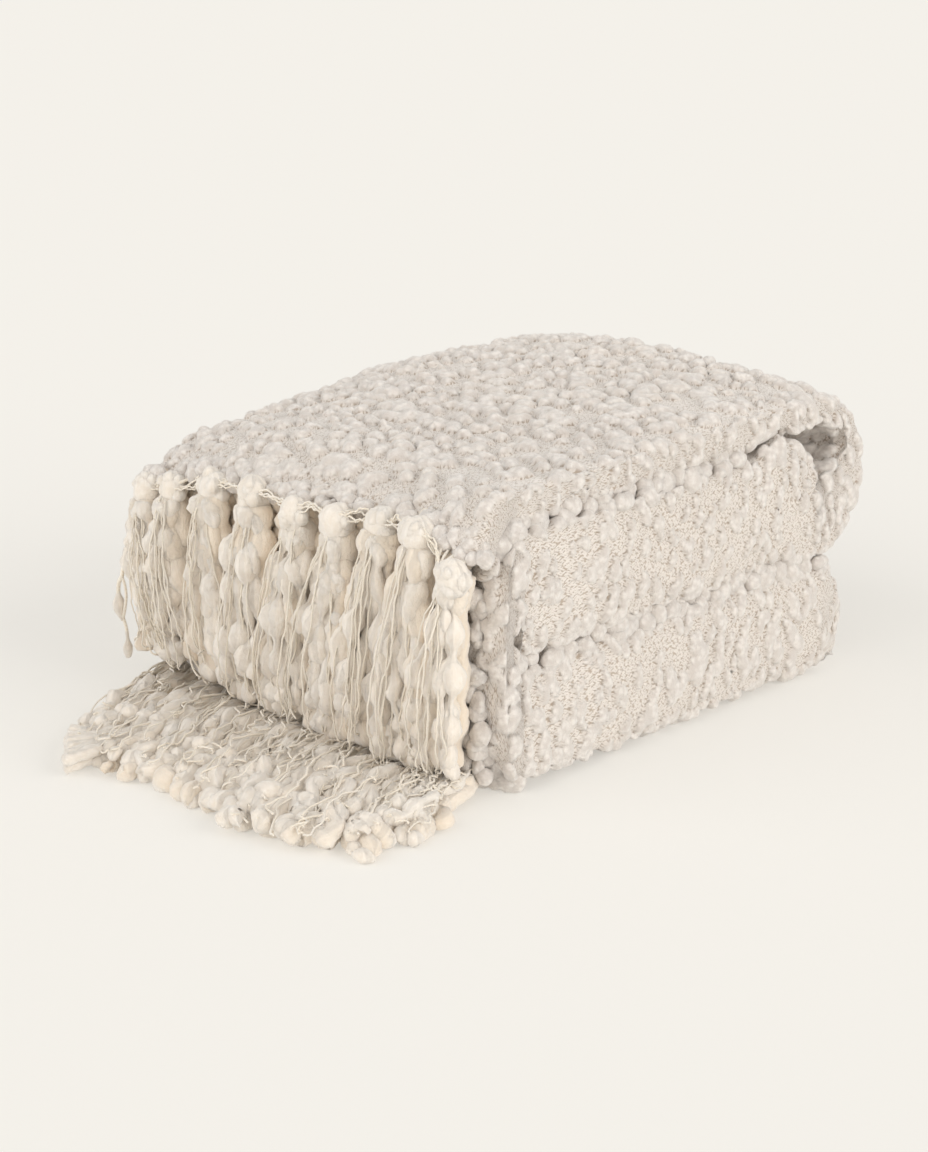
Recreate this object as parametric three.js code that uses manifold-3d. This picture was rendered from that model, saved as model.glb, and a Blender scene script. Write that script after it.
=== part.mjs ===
// A chunky boucle throw, folded into a thick pile, with a knotted fringe at each short end.
//
// Millimetres, +Z up. The pile stands on z = 0, the fringed end faces -Y and the smooth folded
// side faces +X. The origin is the middle of the whole thing's footprint.
//
// The cloth is folded twice. Across its width both side edges are brought in and the strip is
// closed like a book, so it is four layers thick with one smooth wrap on its right-hand side.
// Along its length that strip goes back and forth in four runs, with a fringe at each end.

import * as THREE from "three";
import { mergeVertices } from "three/addons/utils/BufferGeometryUtils.js";
import Module from "manifold-3d";

const wasm = await Module();
wasm.setup();

// ---- driving sizes -------------------------------------------------------------------------

const HALF_WIDTH = 170; // from the middle of the pile to its sides
const CLOTH_THICK = 13; // the cloth where nothing presses on it, pile and all
const LAYERS = 4; // layers in the folded strip
const FILL = 0.86; // share of a pressed strip that is cloth, the rest is the room between layers
const APART = 0.8; // half the room between one run and the next
const GAP = 0.9; // room between the end of the cloth and its fringe
const LOWEST = 1.2; // the second run's wrap hangs down to this height

const FRONT_TURN = -66; // y where the strip starts to turn at the front
const FRONT_END = -98; // y where the lowest run ends
const BACK_TURN_LOW = 225;
const BACK_TURN_HIGH = 217;
const ROLL_DEGREES = 33; // how far the top run rolls down over the front

// Heights of the surfaces between the runs, from the floor up, at the left side, the middle and
// the right side of the strip. "side" says how sharply the height changes towards a side.
const LEVEL_ROWS = [-118, 165, 222]; // y of the front, shoulder and back rows
const LEVELS = [
  { side: 2, front: [0, 0, 0], shoulder: [0, 0, 0], back: [0, 0, 0] },
  { side: 4, front: [37, 40, 8], shoulder: [39, 40, -12], back: [38, 41, -12] },
  { side: 2, front: [82, 84, 87], shoulder: [84, 86, 89], back: [83, 86, 86] },
  { side: 4, front: [140, 151, 182], shoulder: [146, 154, 184], back: [142, 154, 152] },
  { side: 2.4, front: [177, 202, 205], shoulder: [196, 219, 210], back: [196, 221, 207] },
];

// The four runs from the floor up: the strip's side edges, how much further it flares to the
// right at the front, the depth of its wrap on the right and how far inside that wrap the
// cloth's own side edges stop.
const RUNS = [
  { left: -158, right: 138, flare: 24, wrap: 12, tuck: 8 },
  { left: -164, right: 178, flare: 0, wrap: 26, tuck: 6 },
  { left: -167, right: 177, flare: 0, wrap: 30, tuck: 6 },
  { left: -165, right: 170, flare: 0, wrap: 15, tuck: 30 },
];
const FLARE_LONG = 90; // the flare dies out over this length

// The turns that join the runs: which level they go round, towards which end, and their reach.
// On the right "tight" is how much later a turn starts and "eye" how far its hollow opens. The
// hollow of the last turn stays open as the top run leaves it, and closes at HOLLOW_END.
const TURNS = [
  { level: 1, way: 1, y: BACK_TURN_LOW, reach: 50, tight: 0, eye: 0 },
  { level: 2, way: -1, y: FRONT_TURN, reach: 52, tight: 28, eye: 0.25 },
  { level: 3, way: 1, y: BACK_TURN_HIGH, reach: 70, tight: 0, eye: 0.64 },
];
const TIGHT_LONG = 70; // a tight turn draws this length of its runs along
const HOLLOW_END = 132;

const RUN_STEPS = 6; // facets along a run
const TURN_STEPS = 6; // facets round a turn
const ROLL_STEPS = 3; // facets over the front roll
const WRAP_SQUARENESS = 3.6; // 2 is an ellipse, more is boxier

// The fringe on top: one row per tassel, where its knot sits, where its end hangs and how wide
// it is. HANG is its path below the knot: how far down, how far forward and how thick.
const KNOT_LONG = 22; // the knotted heading that joins the tassels
const TASSELS_TOP = [
  { knot: -143, end: -122, low: 29, wide: 19 },
  { knot: -110, end: -94, low: 27, wide: 20 },
  { knot: -74, end: -64, low: 28, wide: 21 },
  { knot: -36, end: -42, low: 26, wide: 20 },
  { knot: 7, end: -8, low: 24, wide: 21 },
  { knot: 49, end: 28, low: 23, wide: 21 },
  { knot: 92, end: 68, low: 24, wide: 20 },
  { knot: 124, end: 106, low: 26, wide: 18 },
  { knot: 153, end: 148, low: 28, wide: 17 },
];
const HANG = [
  { down: 0.12, forward: 16, thick: 12 },
  { down: 0.4, forward: 19, thick: 14 },
  { down: 0.75, forward: 20, thick: 14 },
  { down: 1, forward: 22, thick: 9 },
];

// A stray strand hangs free at the left end of the top fringe, with a puff near its tip.
const STRAY = [
  { x: -146, y: -128, z: 124, size: 5 },
  { x: -168, y: -133, z: 131, size: 4 },
  { x: -180, y: -134, z: 124, size: 3 },
  { x: -187, y: -134, z: 100, size: 3 },
  { x: -191, y: -133, z: 72, size: 4 },
  { x: -186, y: -132, z: 50, size: 3 },
  { x: -184, y: -132, z: 38, size: 4 },
  { x: -184, y: -132, z: 26, size: 7 },
  { x: -184, y: -132, z: 17, size: 5 },
];

// The fringe on the floor: where each tassel leaves the cloth, where its tip lies and its width.
// LIE is its path: how far along, how high it piles up and what share of its width it has.
const HEADING_LONG = 15;
const TASSELS_FLOOR = [
  { base: -138, tip: [-62, -270], wide: 20 },
  { base: -106, tip: [-30, -272], wide: 21 },
  { base: -74, tip: [6, -256], wide: 21 },
  { base: -42, tip: [42, -252], wide: 20 },
  { base: -10, tip: [76, -256], wide: 21 },
  { base: 22, tip: [107, -255], wide: 21 },
  { base: 52, tip: [139, -244], wide: 20 },
  { base: 84, tip: [164, -228], wide: 20 },
  { base: 112, tip: [178, -196], wide: 19 },
];
const LIE = [
  { along: 0, high: 14, share: 0.7 },
  { along: 0.3, high: 15, share: 0.9 },
  { along: 0.55, high: 24, share: 1 },
  { along: 0.85, high: 25, share: 0.95 },
  { along: 1, high: 17, share: 0.6 },
];
const TUBE_SIDES = 8;

// ---- small helpers -------------------------------------------------------------------------

const lerp = (a, b, share) => a + (b - a) * share;
const clamp01 = (value) => Math.min(1, Math.max(0, value));
const smooth = (from, to, value) => {
  const share = clamp01((value - from) / (to - from));
  return share * share * (3 - 2 * share);
};
const vector = (x, y, z) => new THREE.Vector3(x, y, z);
const steps = (count) => Array.from({ length: count + 1 }, (_, i) => i / count);

// ---- the folded pile -----------------------------------------------------------------------

// Height of a level at a place: three rows blended along y, each bent across x.
function levelHeight(level, x, y) {
  const row = LEVELS[level];
  const [front, shoulder, back] = LEVEL_ROWS;
  const toShoulder = smooth(front, shoulder, y);
  const toBack = smooth(shoulder, back, y);
  const blend = (column) =>
    lerp(lerp(row.front[column], row.shoulder[column], toShoulder), row.back[column], toBack);
  const out = Math.abs(x) / HALF_WIDTH;
  const edge = blend(x < 0 ? 0 : 2);
  const sway = 1.6 * Math.sin(x / 41 + level * 1.9) * Math.sin(y / 53 + level * 2.3);
  const height = lerp(blend(1), edge, out ** row.side) + sway * (1 - out ** 6);
  return level === 0 ? 0 : Math.max(LOWEST, height);
}

// How much later than at its middle a turn starts at x.
const tightening = ({ tight }, x) => tight * smooth(0.3, 0.95, x / HALF_WIDTH);

// The share of a turn's size that its hollow takes at x. It is 0 until near the right-hand side.
const hollow = ({ eye }, x) => eye * smooth(0.5, 0.96, x / HALF_WIDTH);

// A station is one place along the strip. It says where the strip's edges are and places a point
// that lies at x, a share of the way from the cloth's lower face in the lowest run ("face A").
function runStation(run, y) {
  const { left, right, flare, wrap, tuck } = RUNS[run];
  const drawn = run === 0 ? 0 : smooth(FRONT_TURN + TIGHT_LONG, FRONT_TURN, y);
  const open = run === 3 ? smooth(HOLLOW_END, BACK_TURN_HIGH, y) : 0;
  const upper = (x) => levelHeight(run + 1, x, y) - APART;
  const lower = (x) => {
    const rest = levelHeight(run, x, y);
    return rest + (run === 0 ? 0 : APART) + open * hollow(TURNS[2], x) * (upper(x) + APART - rest);
  };
  const upsideDown = run % 2 === 1;
  return {
    left,
    right: right + flare * smooth(FRONT_END + FLARE_LONG, FRONT_END, y),
    wrap,
    tuck,
    thick: (x) => upper(x) - lower(x),
    place: (x, share) => [
      x,
      y - drawn * tightening(TURNS[1], x),
      lerp(lower(x), upper(x), upsideDown ? 1 - share : share),
    ],
  };
}

// Round a turn a point keeps its share of the strip, on an ellipse about the level between runs.
function turnStation(turn, index, angle) {
  const { level, way, y, reach } = turn;
  const middle = (x) => levelHeight(level, x, y);
  const below = (x) => middle(x) - levelHeight(level - 1, x, y);
  const above = (x) => levelHeight(level + 1, x, y) - middle(x);
  const up = (1 + Math.sin(angle)) / 2;
  const radius = (x) => (angle < 0 ? below(x) : above(x));
  const low = RUNS[index];
  const high = RUNS[index + 1];
  const innerIsA = index % 2 === 1;
  const shut = index === 2 ? 1 : smooth(1.02, 0.8, Math.sin(angle));
  const open = (x) => hollow(turn, x) * smooth(0.05, 0.5, up) * shut;
  const place = (x, share) => {
    const size = radius(x);
    const corner = 1 - 0.07 * (Math.abs(x) / HALF_WIDTH) ** 6;
    const inner = APART / size + open(x);
    const outer = 1 - (level === 1 && angle < 0 ? 0 : APART / size);
    const out = lerp(inner, outer, innerIsA ? share : 1 - share);
    const late = tightening(turn, x);
    const along = late + Math.cos(angle) * (reach - late) * corner * out;
    return [x, y + way * along, middle(x) + Math.sin(angle) * size * out];
  };
  return {
    left: lerp(low.left, high.left, up),
    right: lerp(low.right, high.right, up),
    wrap: lerp(low.wrap, high.wrap, up),
    tuck: lerp(low.tuck, high.tuck, up),
    thick: (x) => lerp(below(x), above(x), up) * (1 - open(x)) - 2 * APART,
    place,
  };
}

// Past the front turn the top run rolls down over it, at its own distance from the turn.
function rollStation(roll) {
  const { level, y, reach } = TURNS[1];
  const angle = Math.PI / 2 - roll;
  const top = RUNS.length - 1;
  const bottom = (x) => levelHeight(top, x, y) + APART;
  const thick = (x) => levelHeight(top + 1, x, y - reach * Math.sin(roll)) - bottom(x) - APART;
  const place = (x, share) => {
    const middle = levelHeight(level, x, y);
    const rise = bottom(x) - middle + (1 - share) * thick(x);
    const late = tightening(TURNS[1], x);
    const forward = late + Math.cos(angle) * (reach - late + APART + (1 - share) * thick(x));
    return [x, y - forward, middle + Math.sin(angle) * rise];
  };
  return { ...RUNS[top], thick, place };
}

// Every station along the strip, from the fringe on the floor to the fringe on top.
function stripStations() {
  const turnAngles = steps(TURN_STEPS).slice(1, -1).map((share) => (share - 0.5) * Math.PI);
  const ends = [
    [FRONT_END, BACK_TURN_LOW],
    [BACK_TURN_LOW, FRONT_TURN],
    [FRONT_TURN, BACK_TURN_HIGH],
    [BACK_TURN_HIGH, FRONT_TURN],
  ];
  const stations = [];
  ends.forEach(([from, to], run) => {
    stations.push(...steps(RUN_STEPS).map((share) => runStation(run, lerp(from, to, share))));
    if (run < TURNS.length) {
      stations.push(...turnAngles.map((angle) => turnStation(TURNS[run], run, angle)));
    }
  });
  const roll = THREE.MathUtils.degToRad(ROLL_DEGREES);
  stations.push(...steps(ROLL_STEPS).slice(1).map((share) => rollStation(roll * share)));
  return stations;
}

// ---- the strip's section -------------------------------------------------------------------

// The middle line of the book-folded cloth as points [x, height, thickness], from one side edge
// of the cloth round to the other: second layer, left turn, top layer, wrap, lowest layer, left
// turn, third layer.
function sectionLine({ left, right, wrap, tuck, thick }) {
  const rawEdge = right - wrap - tuck;
  const clothAt = (x) => {
    const layers = lerp(LAYERS, 2, smooth(rawEdge, rawEdge + 18, x));
    return Math.min(CLOTH_THICK, (FILL * thick(x)) / layers);
  };
  const highest = (x) => thick(x) - clothAt(x) / 2;
  const lowest = (x) => clothAt(x) / 2;
  const layerAt = (x, share) => lerp(lowest(x), highest(x), share);
  const line = [];
  const add = (x, height) => line.push([x, height, clothAt(x)]);

  const edgeCloth = clothAt(left + 10);
  const turnReach = (highest(left + 10) - lowest(left + 10)) / 6;
  const turnFrom = left + edgeCloth / 2 + turnReach;
  const wrapFrom = right - wrap;
  const wrapReach = wrap - clothAt(wrapFrom) / 2;
  const along = [0.12, 0.3, 0.6, 0.84];

  const leftTurn = (from, to) => {
    for (const share of steps(4)) {
      const angle = share * Math.PI;
      const x = turnFrom - turnReach * Math.sin(angle);
      add(x, lerp(layerAt(turnFrom, from), layerAt(turnFrom, to), (1 - Math.cos(angle)) / 2));
    }
  };
  const layer = (from, to, share, places) => {
    places.forEach((place) => add(lerp(from, to, place), layerAt(lerp(from, to, place), share)));
  };

  layer(rawEdge, turnFrom, 2 / 3, [0, 0.15, 0.4, 0.7, 0.88]);
  leftTurn(2 / 3, 1);
  layer(turnFrom, wrapFrom, 1, along);
  for (const share of steps(8)) {
    const angle = (0.5 - share) * Math.PI;
    const power = 2 / WRAP_SQUARENESS;
    const x = wrapFrom + wrapReach * Math.abs(Math.cos(angle)) ** power;
    const lift = Math.sign(Math.sin(angle)) * Math.abs(Math.sin(angle)) ** power;
    add(x, layerAt(wrapFrom + (x - wrapFrom) / 2, (1 + lift) / 2));
  }
  layer(turnFrom, wrapFrom, 0, [...along].reverse());
  leftTurn(0, 1 / 3);
  layer(turnFrom, rawEdge, 1 / 3, [0.12, 0.3, 0.6, 0.85, 1]);
  return line;
}

// Both faces of the cloth along its middle line, as pairs [x, height].
function sectionFaces(station) {
  const line = sectionLine(station);
  return line.map(([x, height, cloth], i) => {
    const before = line[Math.max(0, i - 1)];
    const after = line[Math.min(line.length - 1, i + 1)];
    const along = new THREE.Vector2(after[0] - before[0], after[1] - before[1]).normalize();
    const side = [-along.y * (cloth / 2), along.x * (cloth / 2)];
    return [
      [x + side[0], height + side[1]],
      [x - side[0], height - side[1]],
    ];
  });
}

// ---- meshes --------------------------------------------------------------------------------

// A closed mesh from points and triangles, turned so that its faces point out.
function closedGeometry(points, triangles) {
  const [a, b, c] = [vector(), vector(), vector()];
  const volume = triangles.reduce((sum, [i, j, k]) => {
    b.fromArray(points[j]).cross(c.fromArray(points[k]));
    return sum + a.fromArray(points[i]).dot(b);
  }, 0);
  const outward = volume > 0 ? triangles : triangles.map(([i, j, k]) => [i, k, j]);
  const geometry = new THREE.BufferGeometry();
  geometry.setAttribute("position", new THREE.Float32BufferAttribute(points.flat(), 3));
  geometry.setIndex(outward.flat());
  return geometry;
}

// Skins a row of rings, all with the same number of points, and closes both ends. Ring points
// i and (count - 1 - i) face each other, so an end is a strip of quads between them.
function skinRings(rings) {
  const count = rings[0].length;
  const points = rings.flat();
  const triangles = [];
  for (let row = 0; row + 1 < rings.length; row++) {
    for (let i = 0; i < count; i++) {
      const a = row * count + i;
      const b = row * count + ((i + 1) % count);
      triangles.push([a, b, b + count], [a, b + count, a + count]);
    }
  }
  const last = (rings.length - 1) * count;
  for (let i = 0; i + 1 < count / 2; i++) {
    const [a, b, c, d] = [i, i + 1, count - 2 - i, count - 1 - i];
    triangles.push([a, d, b], [b, d, c]);
    triangles.push([last + a, last + b, last + d], [last + b, last + c, last + d]);
  }
  return closedGeometry(points, triangles);
}

function blanketGeometry() {
  const rings = stripStations().map((station) => {
    const faces = sectionFaces(station);
    const onStation = ([x, height]) => station.place(x, clamp01(height / station.thick(x)));
    return [
      ...faces.map(([upper]) => onStation(upper)),
      ...faces.map(([, lower]) => onStation(lower)).reverse(),
    ];
  });
  return skinRings(rings);
}

// ---- the fringes ---------------------------------------------------------------------------

// A round bar through points { at, wide, high }: "wide" is half its size across the way it runs,
// level with the floor, and "high" half its size square to that. It never dips under the floor.
function bar(points) {
  const rings = points.map(({ at, wide, high }, i) => {
    const from = points[Math.max(0, i - 1)].at;
    const to = points[Math.min(points.length - 1, i + 1)].at;
    const along = to.clone().sub(from).normalize();
    const across = new THREE.Vector3(1, 0, 0);
    if (Math.abs(along.z) < 0.7) across.set(-along.y, along.x, 0).normalize();
    const over = along.clone().cross(across).normalize();
    return Array.from({ length: TUBE_SIDES }, (_, side) => {
      const angle = ((side + 0.5) / TUBE_SIDES) * 2 * Math.PI;
      const point = at.clone();
      point.addScaledVector(across, wide * Math.cos(angle)).addScaledVector(over, high * Math.sin(angle));
      return [point.x, point.y, Math.max(0, point.z)];
    });
  });
  return skinRings(rings);
}

// A heading: the bar of cloth-thick knots that joins the tassels, from rings of four corners.
const heading = (xs, corners) => skinRings(xs.map((x) => corners(x)));

function solidOf(geometry) {
  const plain = mergeVertices(geometry, 1e-4);
  const mesh = new wasm.Mesh({
    numProp: 3,
    vertProperties: Float32Array.from(plain.attributes.position.array),
    triVerts: Uint32Array.from(plain.index.array),
  });
  return new wasm.Manifold(mesh);
}

function joined(geometries) {
  const mesh = geometries.map(solidOf).reduce((all, one) => all.add(one)).getMesh();
  const geometry = new THREE.BufferGeometry();
  geometry.setAttribute("position", new THREE.BufferAttribute(mesh.vertProperties, 3));
  geometry.setIndex(new THREE.BufferAttribute(mesh.triVerts, 1));
  return geometry;
}

// The top fringe: its heading carries the roll of the top run on, and its tassels hang from it.
function fringeTopGeometry() {
  const { left, right } = RUNS[RUNS.length - 1];
  const rollEnd = THREE.MathUtils.degToRad(ROLL_DEGREES);
  const startRoll = rollEnd + GAP / (TURNS[1].reach - TURNS[1].tight);
  const endRoll = startRoll + KNOT_LONG / (TURNS[1].reach * 1.8);
  const xs = steps(12).map((share) => lerp(left + 3, right - 3, share));
  const corners = (x) => [
    rollStation(startRoll).place(x, 0.08),
    rollStation(endRoll).place(x, 0.14),
    rollStation(endRoll).place(x, 0.86),
    rollStation(startRoll).place(x, 0.92),
  ];
  const tassels = TASSELS_TOP.map(({ knot, end, low, wide }) => {
    const [x, y, z] = rollStation(endRoll).place(knot, 0.35);
    const start = { at: vector(x, y, z), wide: wide * 0.7, high: 7 };
    const rest = HANG.map(({ down, forward, thick }) => ({
      at: vector(lerp(knot, end, down), FRONT_TURN - TURNS[1].reach - forward, lerp(z, low, down)),
      wide: down < 1 ? wide : wide * 0.7,
      high: thick,
    }));
    return bar([start, ...rest]);
  });
  const stray = bar(STRAY.map(({ x, y, z, size }) => ({ at: vector(x, y, z), wide: size, high: size })));
  return joined([heading(xs, corners), ...tassels, stray]);
}

// The fringe on the floor: its heading stands against the end of the lowest run.
function fringeFloorGeometry() {
  const { left, right } = runStation(0, FRONT_END);
  const back = FRONT_END - GAP;
  const front = back - HEADING_LONG;
  const xs = steps(12).map((share) => lerp(left + 4, right - 6, share));
  const corners = (x) => {
    const top = levelHeight(1, x, FRONT_END) - 3;
    return [
      [x, back, 0],
      [x, front, 0],
      [x, front, top - 5],
      [x, back, top],
    ];
  };
  const tassels = TASSELS_FLOOR.map(({ base, tip, wide }) =>
    bar(
      LIE.map(({ along, high, share }) => ({
        at: vector(lerp(base, tip[0], along), lerp(front + 4, tip[1], along), high / 2),
        wide: wide * share,
        high: high / 2 + 1,
      })),
    ),
  );
  return joined([heading(xs, corners), ...tassels]);
}

// ---- the model -----------------------------------------------------------------------------

const cream = new THREE.MeshStandardMaterial({ color: 0xeae3da, roughness: 0.95, metalness: 0 });
const fringeCream = new THREE.MeshStandardMaterial({ color: 0xe4dbcb, roughness: 0.95, metalness: 0 });

function named(name, geometry, material) {
  const mesh = new THREE.Mesh(geometry, material);
  mesh.name = name;
  return mesh;
}

const throwPile = new THREE.Group();
throwPile.add(named("blanket", blanketGeometry(), cream));
throwPile.add(named("fringe_top", fringeTopGeometry(), fringeCream));
throwPile.add(named("fringe_floor", fringeFloorGeometry(), fringeCream));

// The pile is drawn about its own fold. The origin goes to the middle of its whole footprint.
const middle = new THREE.Box3().setFromObject(throwPile).getCenter(vector());
throwPile.position.set(-middle.x, -middle.y, 0);

export default throwPile;
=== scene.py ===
"""A chunky boucle throw, folded into a thick pile, with a knotted fringe at each short end.

The frame is in metres with +Z up. The cloth's own fold is worked out in millimetres, in the same
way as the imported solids, and make_mesh moves every shape onto them by FOLD_SHIFT.
"""

from math import cos, pi, radians, sin

import bpy
import numpy as np
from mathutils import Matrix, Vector


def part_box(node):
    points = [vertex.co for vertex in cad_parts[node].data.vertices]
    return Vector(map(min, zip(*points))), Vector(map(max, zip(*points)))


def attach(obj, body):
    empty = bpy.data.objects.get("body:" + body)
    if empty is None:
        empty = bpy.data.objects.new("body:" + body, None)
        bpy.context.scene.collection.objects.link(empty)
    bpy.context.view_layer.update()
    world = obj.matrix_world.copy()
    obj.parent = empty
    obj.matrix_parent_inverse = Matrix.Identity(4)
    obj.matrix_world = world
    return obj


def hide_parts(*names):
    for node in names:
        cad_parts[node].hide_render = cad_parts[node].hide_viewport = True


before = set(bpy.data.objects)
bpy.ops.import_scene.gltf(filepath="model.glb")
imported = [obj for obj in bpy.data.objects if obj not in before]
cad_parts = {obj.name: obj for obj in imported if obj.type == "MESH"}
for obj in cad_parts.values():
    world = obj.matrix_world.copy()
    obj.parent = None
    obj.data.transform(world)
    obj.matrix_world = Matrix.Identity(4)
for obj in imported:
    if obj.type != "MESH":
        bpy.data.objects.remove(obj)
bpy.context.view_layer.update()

MM = 0.001


# ---- small helpers ----------------------------------------------------------------------------

# large odd numbers that mix the bits of whole numbers, see scatter
ODD_I, ODD_J, ODD_SEED = (np.uint32(n) for n in (374761393, 668265263, 2246822519))
ODD_FIRST, ODD_SECOND = np.uint32(1274126177), np.uint32(2654435761)


def lerp(a, b, share):
    """a at share 0 and b at share 1, on a straight line."""
    return a + (b - a) * share


def smooth(start, end, value):
    """0 before start, 1 after end, and 3s^2 - 2s^3 between them."""
    share = np.clip((value - start) / (end - start), 0, 1)
    return share * share * (3 - 2 * share)


def unit(vectors):
    """Vectors of length one along the last axis."""
    return vectors / np.maximum(np.linalg.norm(vectors, axis=-1, keepdims=True), 1e-9)


def stacked(*parts):
    """Numbers or arrays side by side along a new last axis, such as x, y and z."""
    return np.stack(np.broadcast_arrays(*parts), -1)


def bits(values):
    """Whole numbers as the 32 bits that scatter mixes."""
    return np.asarray(values, np.int64).astype(np.uint32)


def scatter(i, j, seed):
    """A fixed number from 0 to 1 for each pair of whole numbers: their bits, mixed."""
    with np.errstate(over="ignore"):
        h = bits(i) * ODD_I + bits(j) * ODD_J + np.uint32(seed) * ODD_SEED
        h = (h ^ (h >> np.uint32(13))) * ODD_FIRST
        h = (h ^ (h >> np.uint32(15))) * ODD_SECOND
    return (h ^ (h >> np.uint32(16))).astype(np.float64) / 2.0**32


def ripple(x, y, seed):
    """Smooth noise from -1 to 1 with cells of size 1: scattered corner values blended by smooth."""
    i, j = np.floor(x), np.floor(y)
    u, v = x - i, y - j
    u, v = u * u * (3 - 2 * u), v * v * (3 - 2 * v)
    near = lerp(scatter(i, j, seed), scatter(i + 1, j, seed), u)
    far = lerp(scatter(i, j + 1, seed), scatter(i + 1, j + 1, seed), u)
    return 2 * lerp(near, far, v) - 1


def set_inputs(node, **values):
    """Plain values for a node's inputs; an underscore stands for a space in an input's name."""
    for name, value in values.items():
        node.inputs[name.replace("_", " ")].default_value = value


# ---- camera, light and floor ------------------------------------------------------------------

VIEW_AZIMUTH, VIEW_ELEVATION = 44.31, 17.87
VIEW_DISTANCE = 1.627
VIEW_TARGET = Vector((0.0769, -0.0481, 0.1148))
VIEW_LENS = 75.31
SENSOR = 36.0
SKY_COLOUR, SKY_STRENGTH = (1.0, 0.985, 0.96, 1), 0.62
SUN_COLOUR = (1.0, 0.985, 0.965)
SUNS = (  # azimuth, elevation, strength, spread
    ("key", 104, 20, 1.6, 50),
    ("fill", -14, 12, 1.9, 90),
)
FLOOR_REACH = 30.0
FLOOR_COLOUR = (0.54, 0.528, 0.504, 1)
GLOW_COLOUR, FLOOR_GLOW = (1.0, 0.975, 0.915, 1), 0.38  # it keeps the floor brighter than the cloth


def direction(azimuth, elevation):
    """The way from the object to a place at an azimuth, from -Y towards +X, and an elevation."""
    turn, rise = radians(azimuth), radians(elevation)
    return Vector((sin(turn) * cos(rise), -cos(turn) * cos(rise), sin(rise)))


def aimed(name, data, back):
    """A camera or a lamp in the scene that looks against the direction back."""
    made = bpy.data.objects.new(name, data)
    bpy.context.scene.collection.objects.link(made)
    made.rotation_euler = (-back).to_track_quat("-Z", "Y").to_euler()
    return made


def make_camera():
    """The view that shows the fringed end and the smooth folded side."""
    data = bpy.data.cameras.new("view")
    data.lens, data.sensor_width, data.sensor_fit = VIEW_LENS, SENSOR, "AUTO"
    data.clip_start, data.clip_end = 0.05, 100
    back = direction(VIEW_AZIMUTH, VIEW_ELEVATION)
    camera = aimed("view", data, back)
    camera.location = VIEW_TARGET + back * VIEW_DISTANCE
    bpy.context.scene.camera = camera


def make_lights():
    """An even pale sky with two soft suns: one from the folded side and one from the front."""
    scene = bpy.context.scene
    scene.view_settings.view_transform = "Standard"
    scene.world = bpy.data.worlds.new("studio")
    scene.world.use_nodes = True
    sky = scene.world.node_tree.nodes["Background"]
    set_inputs(sky, Color=SKY_COLOUR, Strength=SKY_STRENGTH)
    for name, azimuth, elevation, strength, spread in SUNS:
        data = bpy.data.lights.new(name, "SUN")
        data.energy, data.angle, data.color = strength, radians(spread), SUN_COLOUR
        aimed(name, data, direction(azimuth, elevation))


def make_floor():
    """A wide sheet of pale paper, which isn't part of the throw."""
    mesh = bpy.data.meshes.new("floor")
    r = FLOOR_REACH
    mesh.from_pydata([(-r, -r, 0), (r, -r, 0), (r, r, 0), (-r, r, 0)], [], [(0, 1, 2, 3)])
    floor = bpy.data.objects.new("floor", mesh)
    bpy.context.scene.collection.objects.link(floor)
    paper = bpy.data.materials.new("floor_paper")
    paper.use_nodes = True
    shader = paper.node_tree.nodes["Principled BSDF"]
    set_inputs(shader, Base_Color=FLOOR_COLOUR, Roughness=1.0, Specular_IOR_Level=0.0)
    set_inputs(shader, Emission_Color=GLOW_COLOUR, Emission_Strength=FLOOR_GLOW)
    mesh.materials.append(paper)


make_camera()
make_lights()
make_floor()


# ---- the fold, in millimetres -----------------------------------------------------------------

# The cloth is folded across its width like a book into a strip of four layers with one smooth
# wrap on the right. The strip goes back and forth in four runs with three turns between them,
# and its end rolls down over the front.

HALF_WIDTH = 170.0
CLOTH_THICK, LAYERS, FILL = 13.0, 4, 0.86
APART, LOWEST = 0.8, 1.2
FRONT_TURN, FRONT_END = -66.0, -98.0
BACK_TURN_LOW, BACK_TURN_HIGH = 225.0, 217.0
ROLL_END = radians(52)  # the cloth's edge lies before this, see EDGE_ROLLS
HOLLOW_END = 132.0
HEAP, HEAP_FRONT, HEAP_BACK = 15.0, (138, 180), (219, 211)  # the nap piled up in the hollow's mouth
TIGHT_LONG, FLARE_LONG = 70.0, 90.0
WRAP_POWER = 2 / 3.6
SWAY = 1.6
TURN_NARROWS = 0.07  # how much less a turn reaches at its sides

# Heights between the runs: how sharply they change to the sides, then their left, middle and
# right at the front, at the shoulder and at the back, where y is as in LEVEL_ROWS.
LEVEL_ROWS = (-118.0, 165.0, 222.0)
LEVELS = (
    (2, (0, 0, 0), (0, 0, 0), (0, 0, 0)),
    (4, (37, 40, 8), (39, 40, -12), (38, 41, -12)),
    (2, (82, 84, 87), (84, 86, 89), (83, 86, 86)),
    (4, (140, 151, 182), (146, 154, 184), (142, 154, 152)),
    (2.4, (177, 202, 205), (196, 219, 210), (196, 221, 207)),
)
RUNS = (  # left, right, flare, wrap, tuck
    (-158, 138, 24, 12, 8),
    (-164, 178, 0, 26, 6),
    (-167, 177, 0, 30, 6),
    (-165, 170, 0, 15, 30),
)
TURNS = (  # level, way, y, reach, tight, eye
    (1, 1, BACK_TURN_LOW, 50, 0, 0),
    (2, -1, FRONT_TURN, 52, 28, 0.25),
    (3, 1, BACK_TURN_HIGH, 70, 0, 0.64),
)


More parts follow.
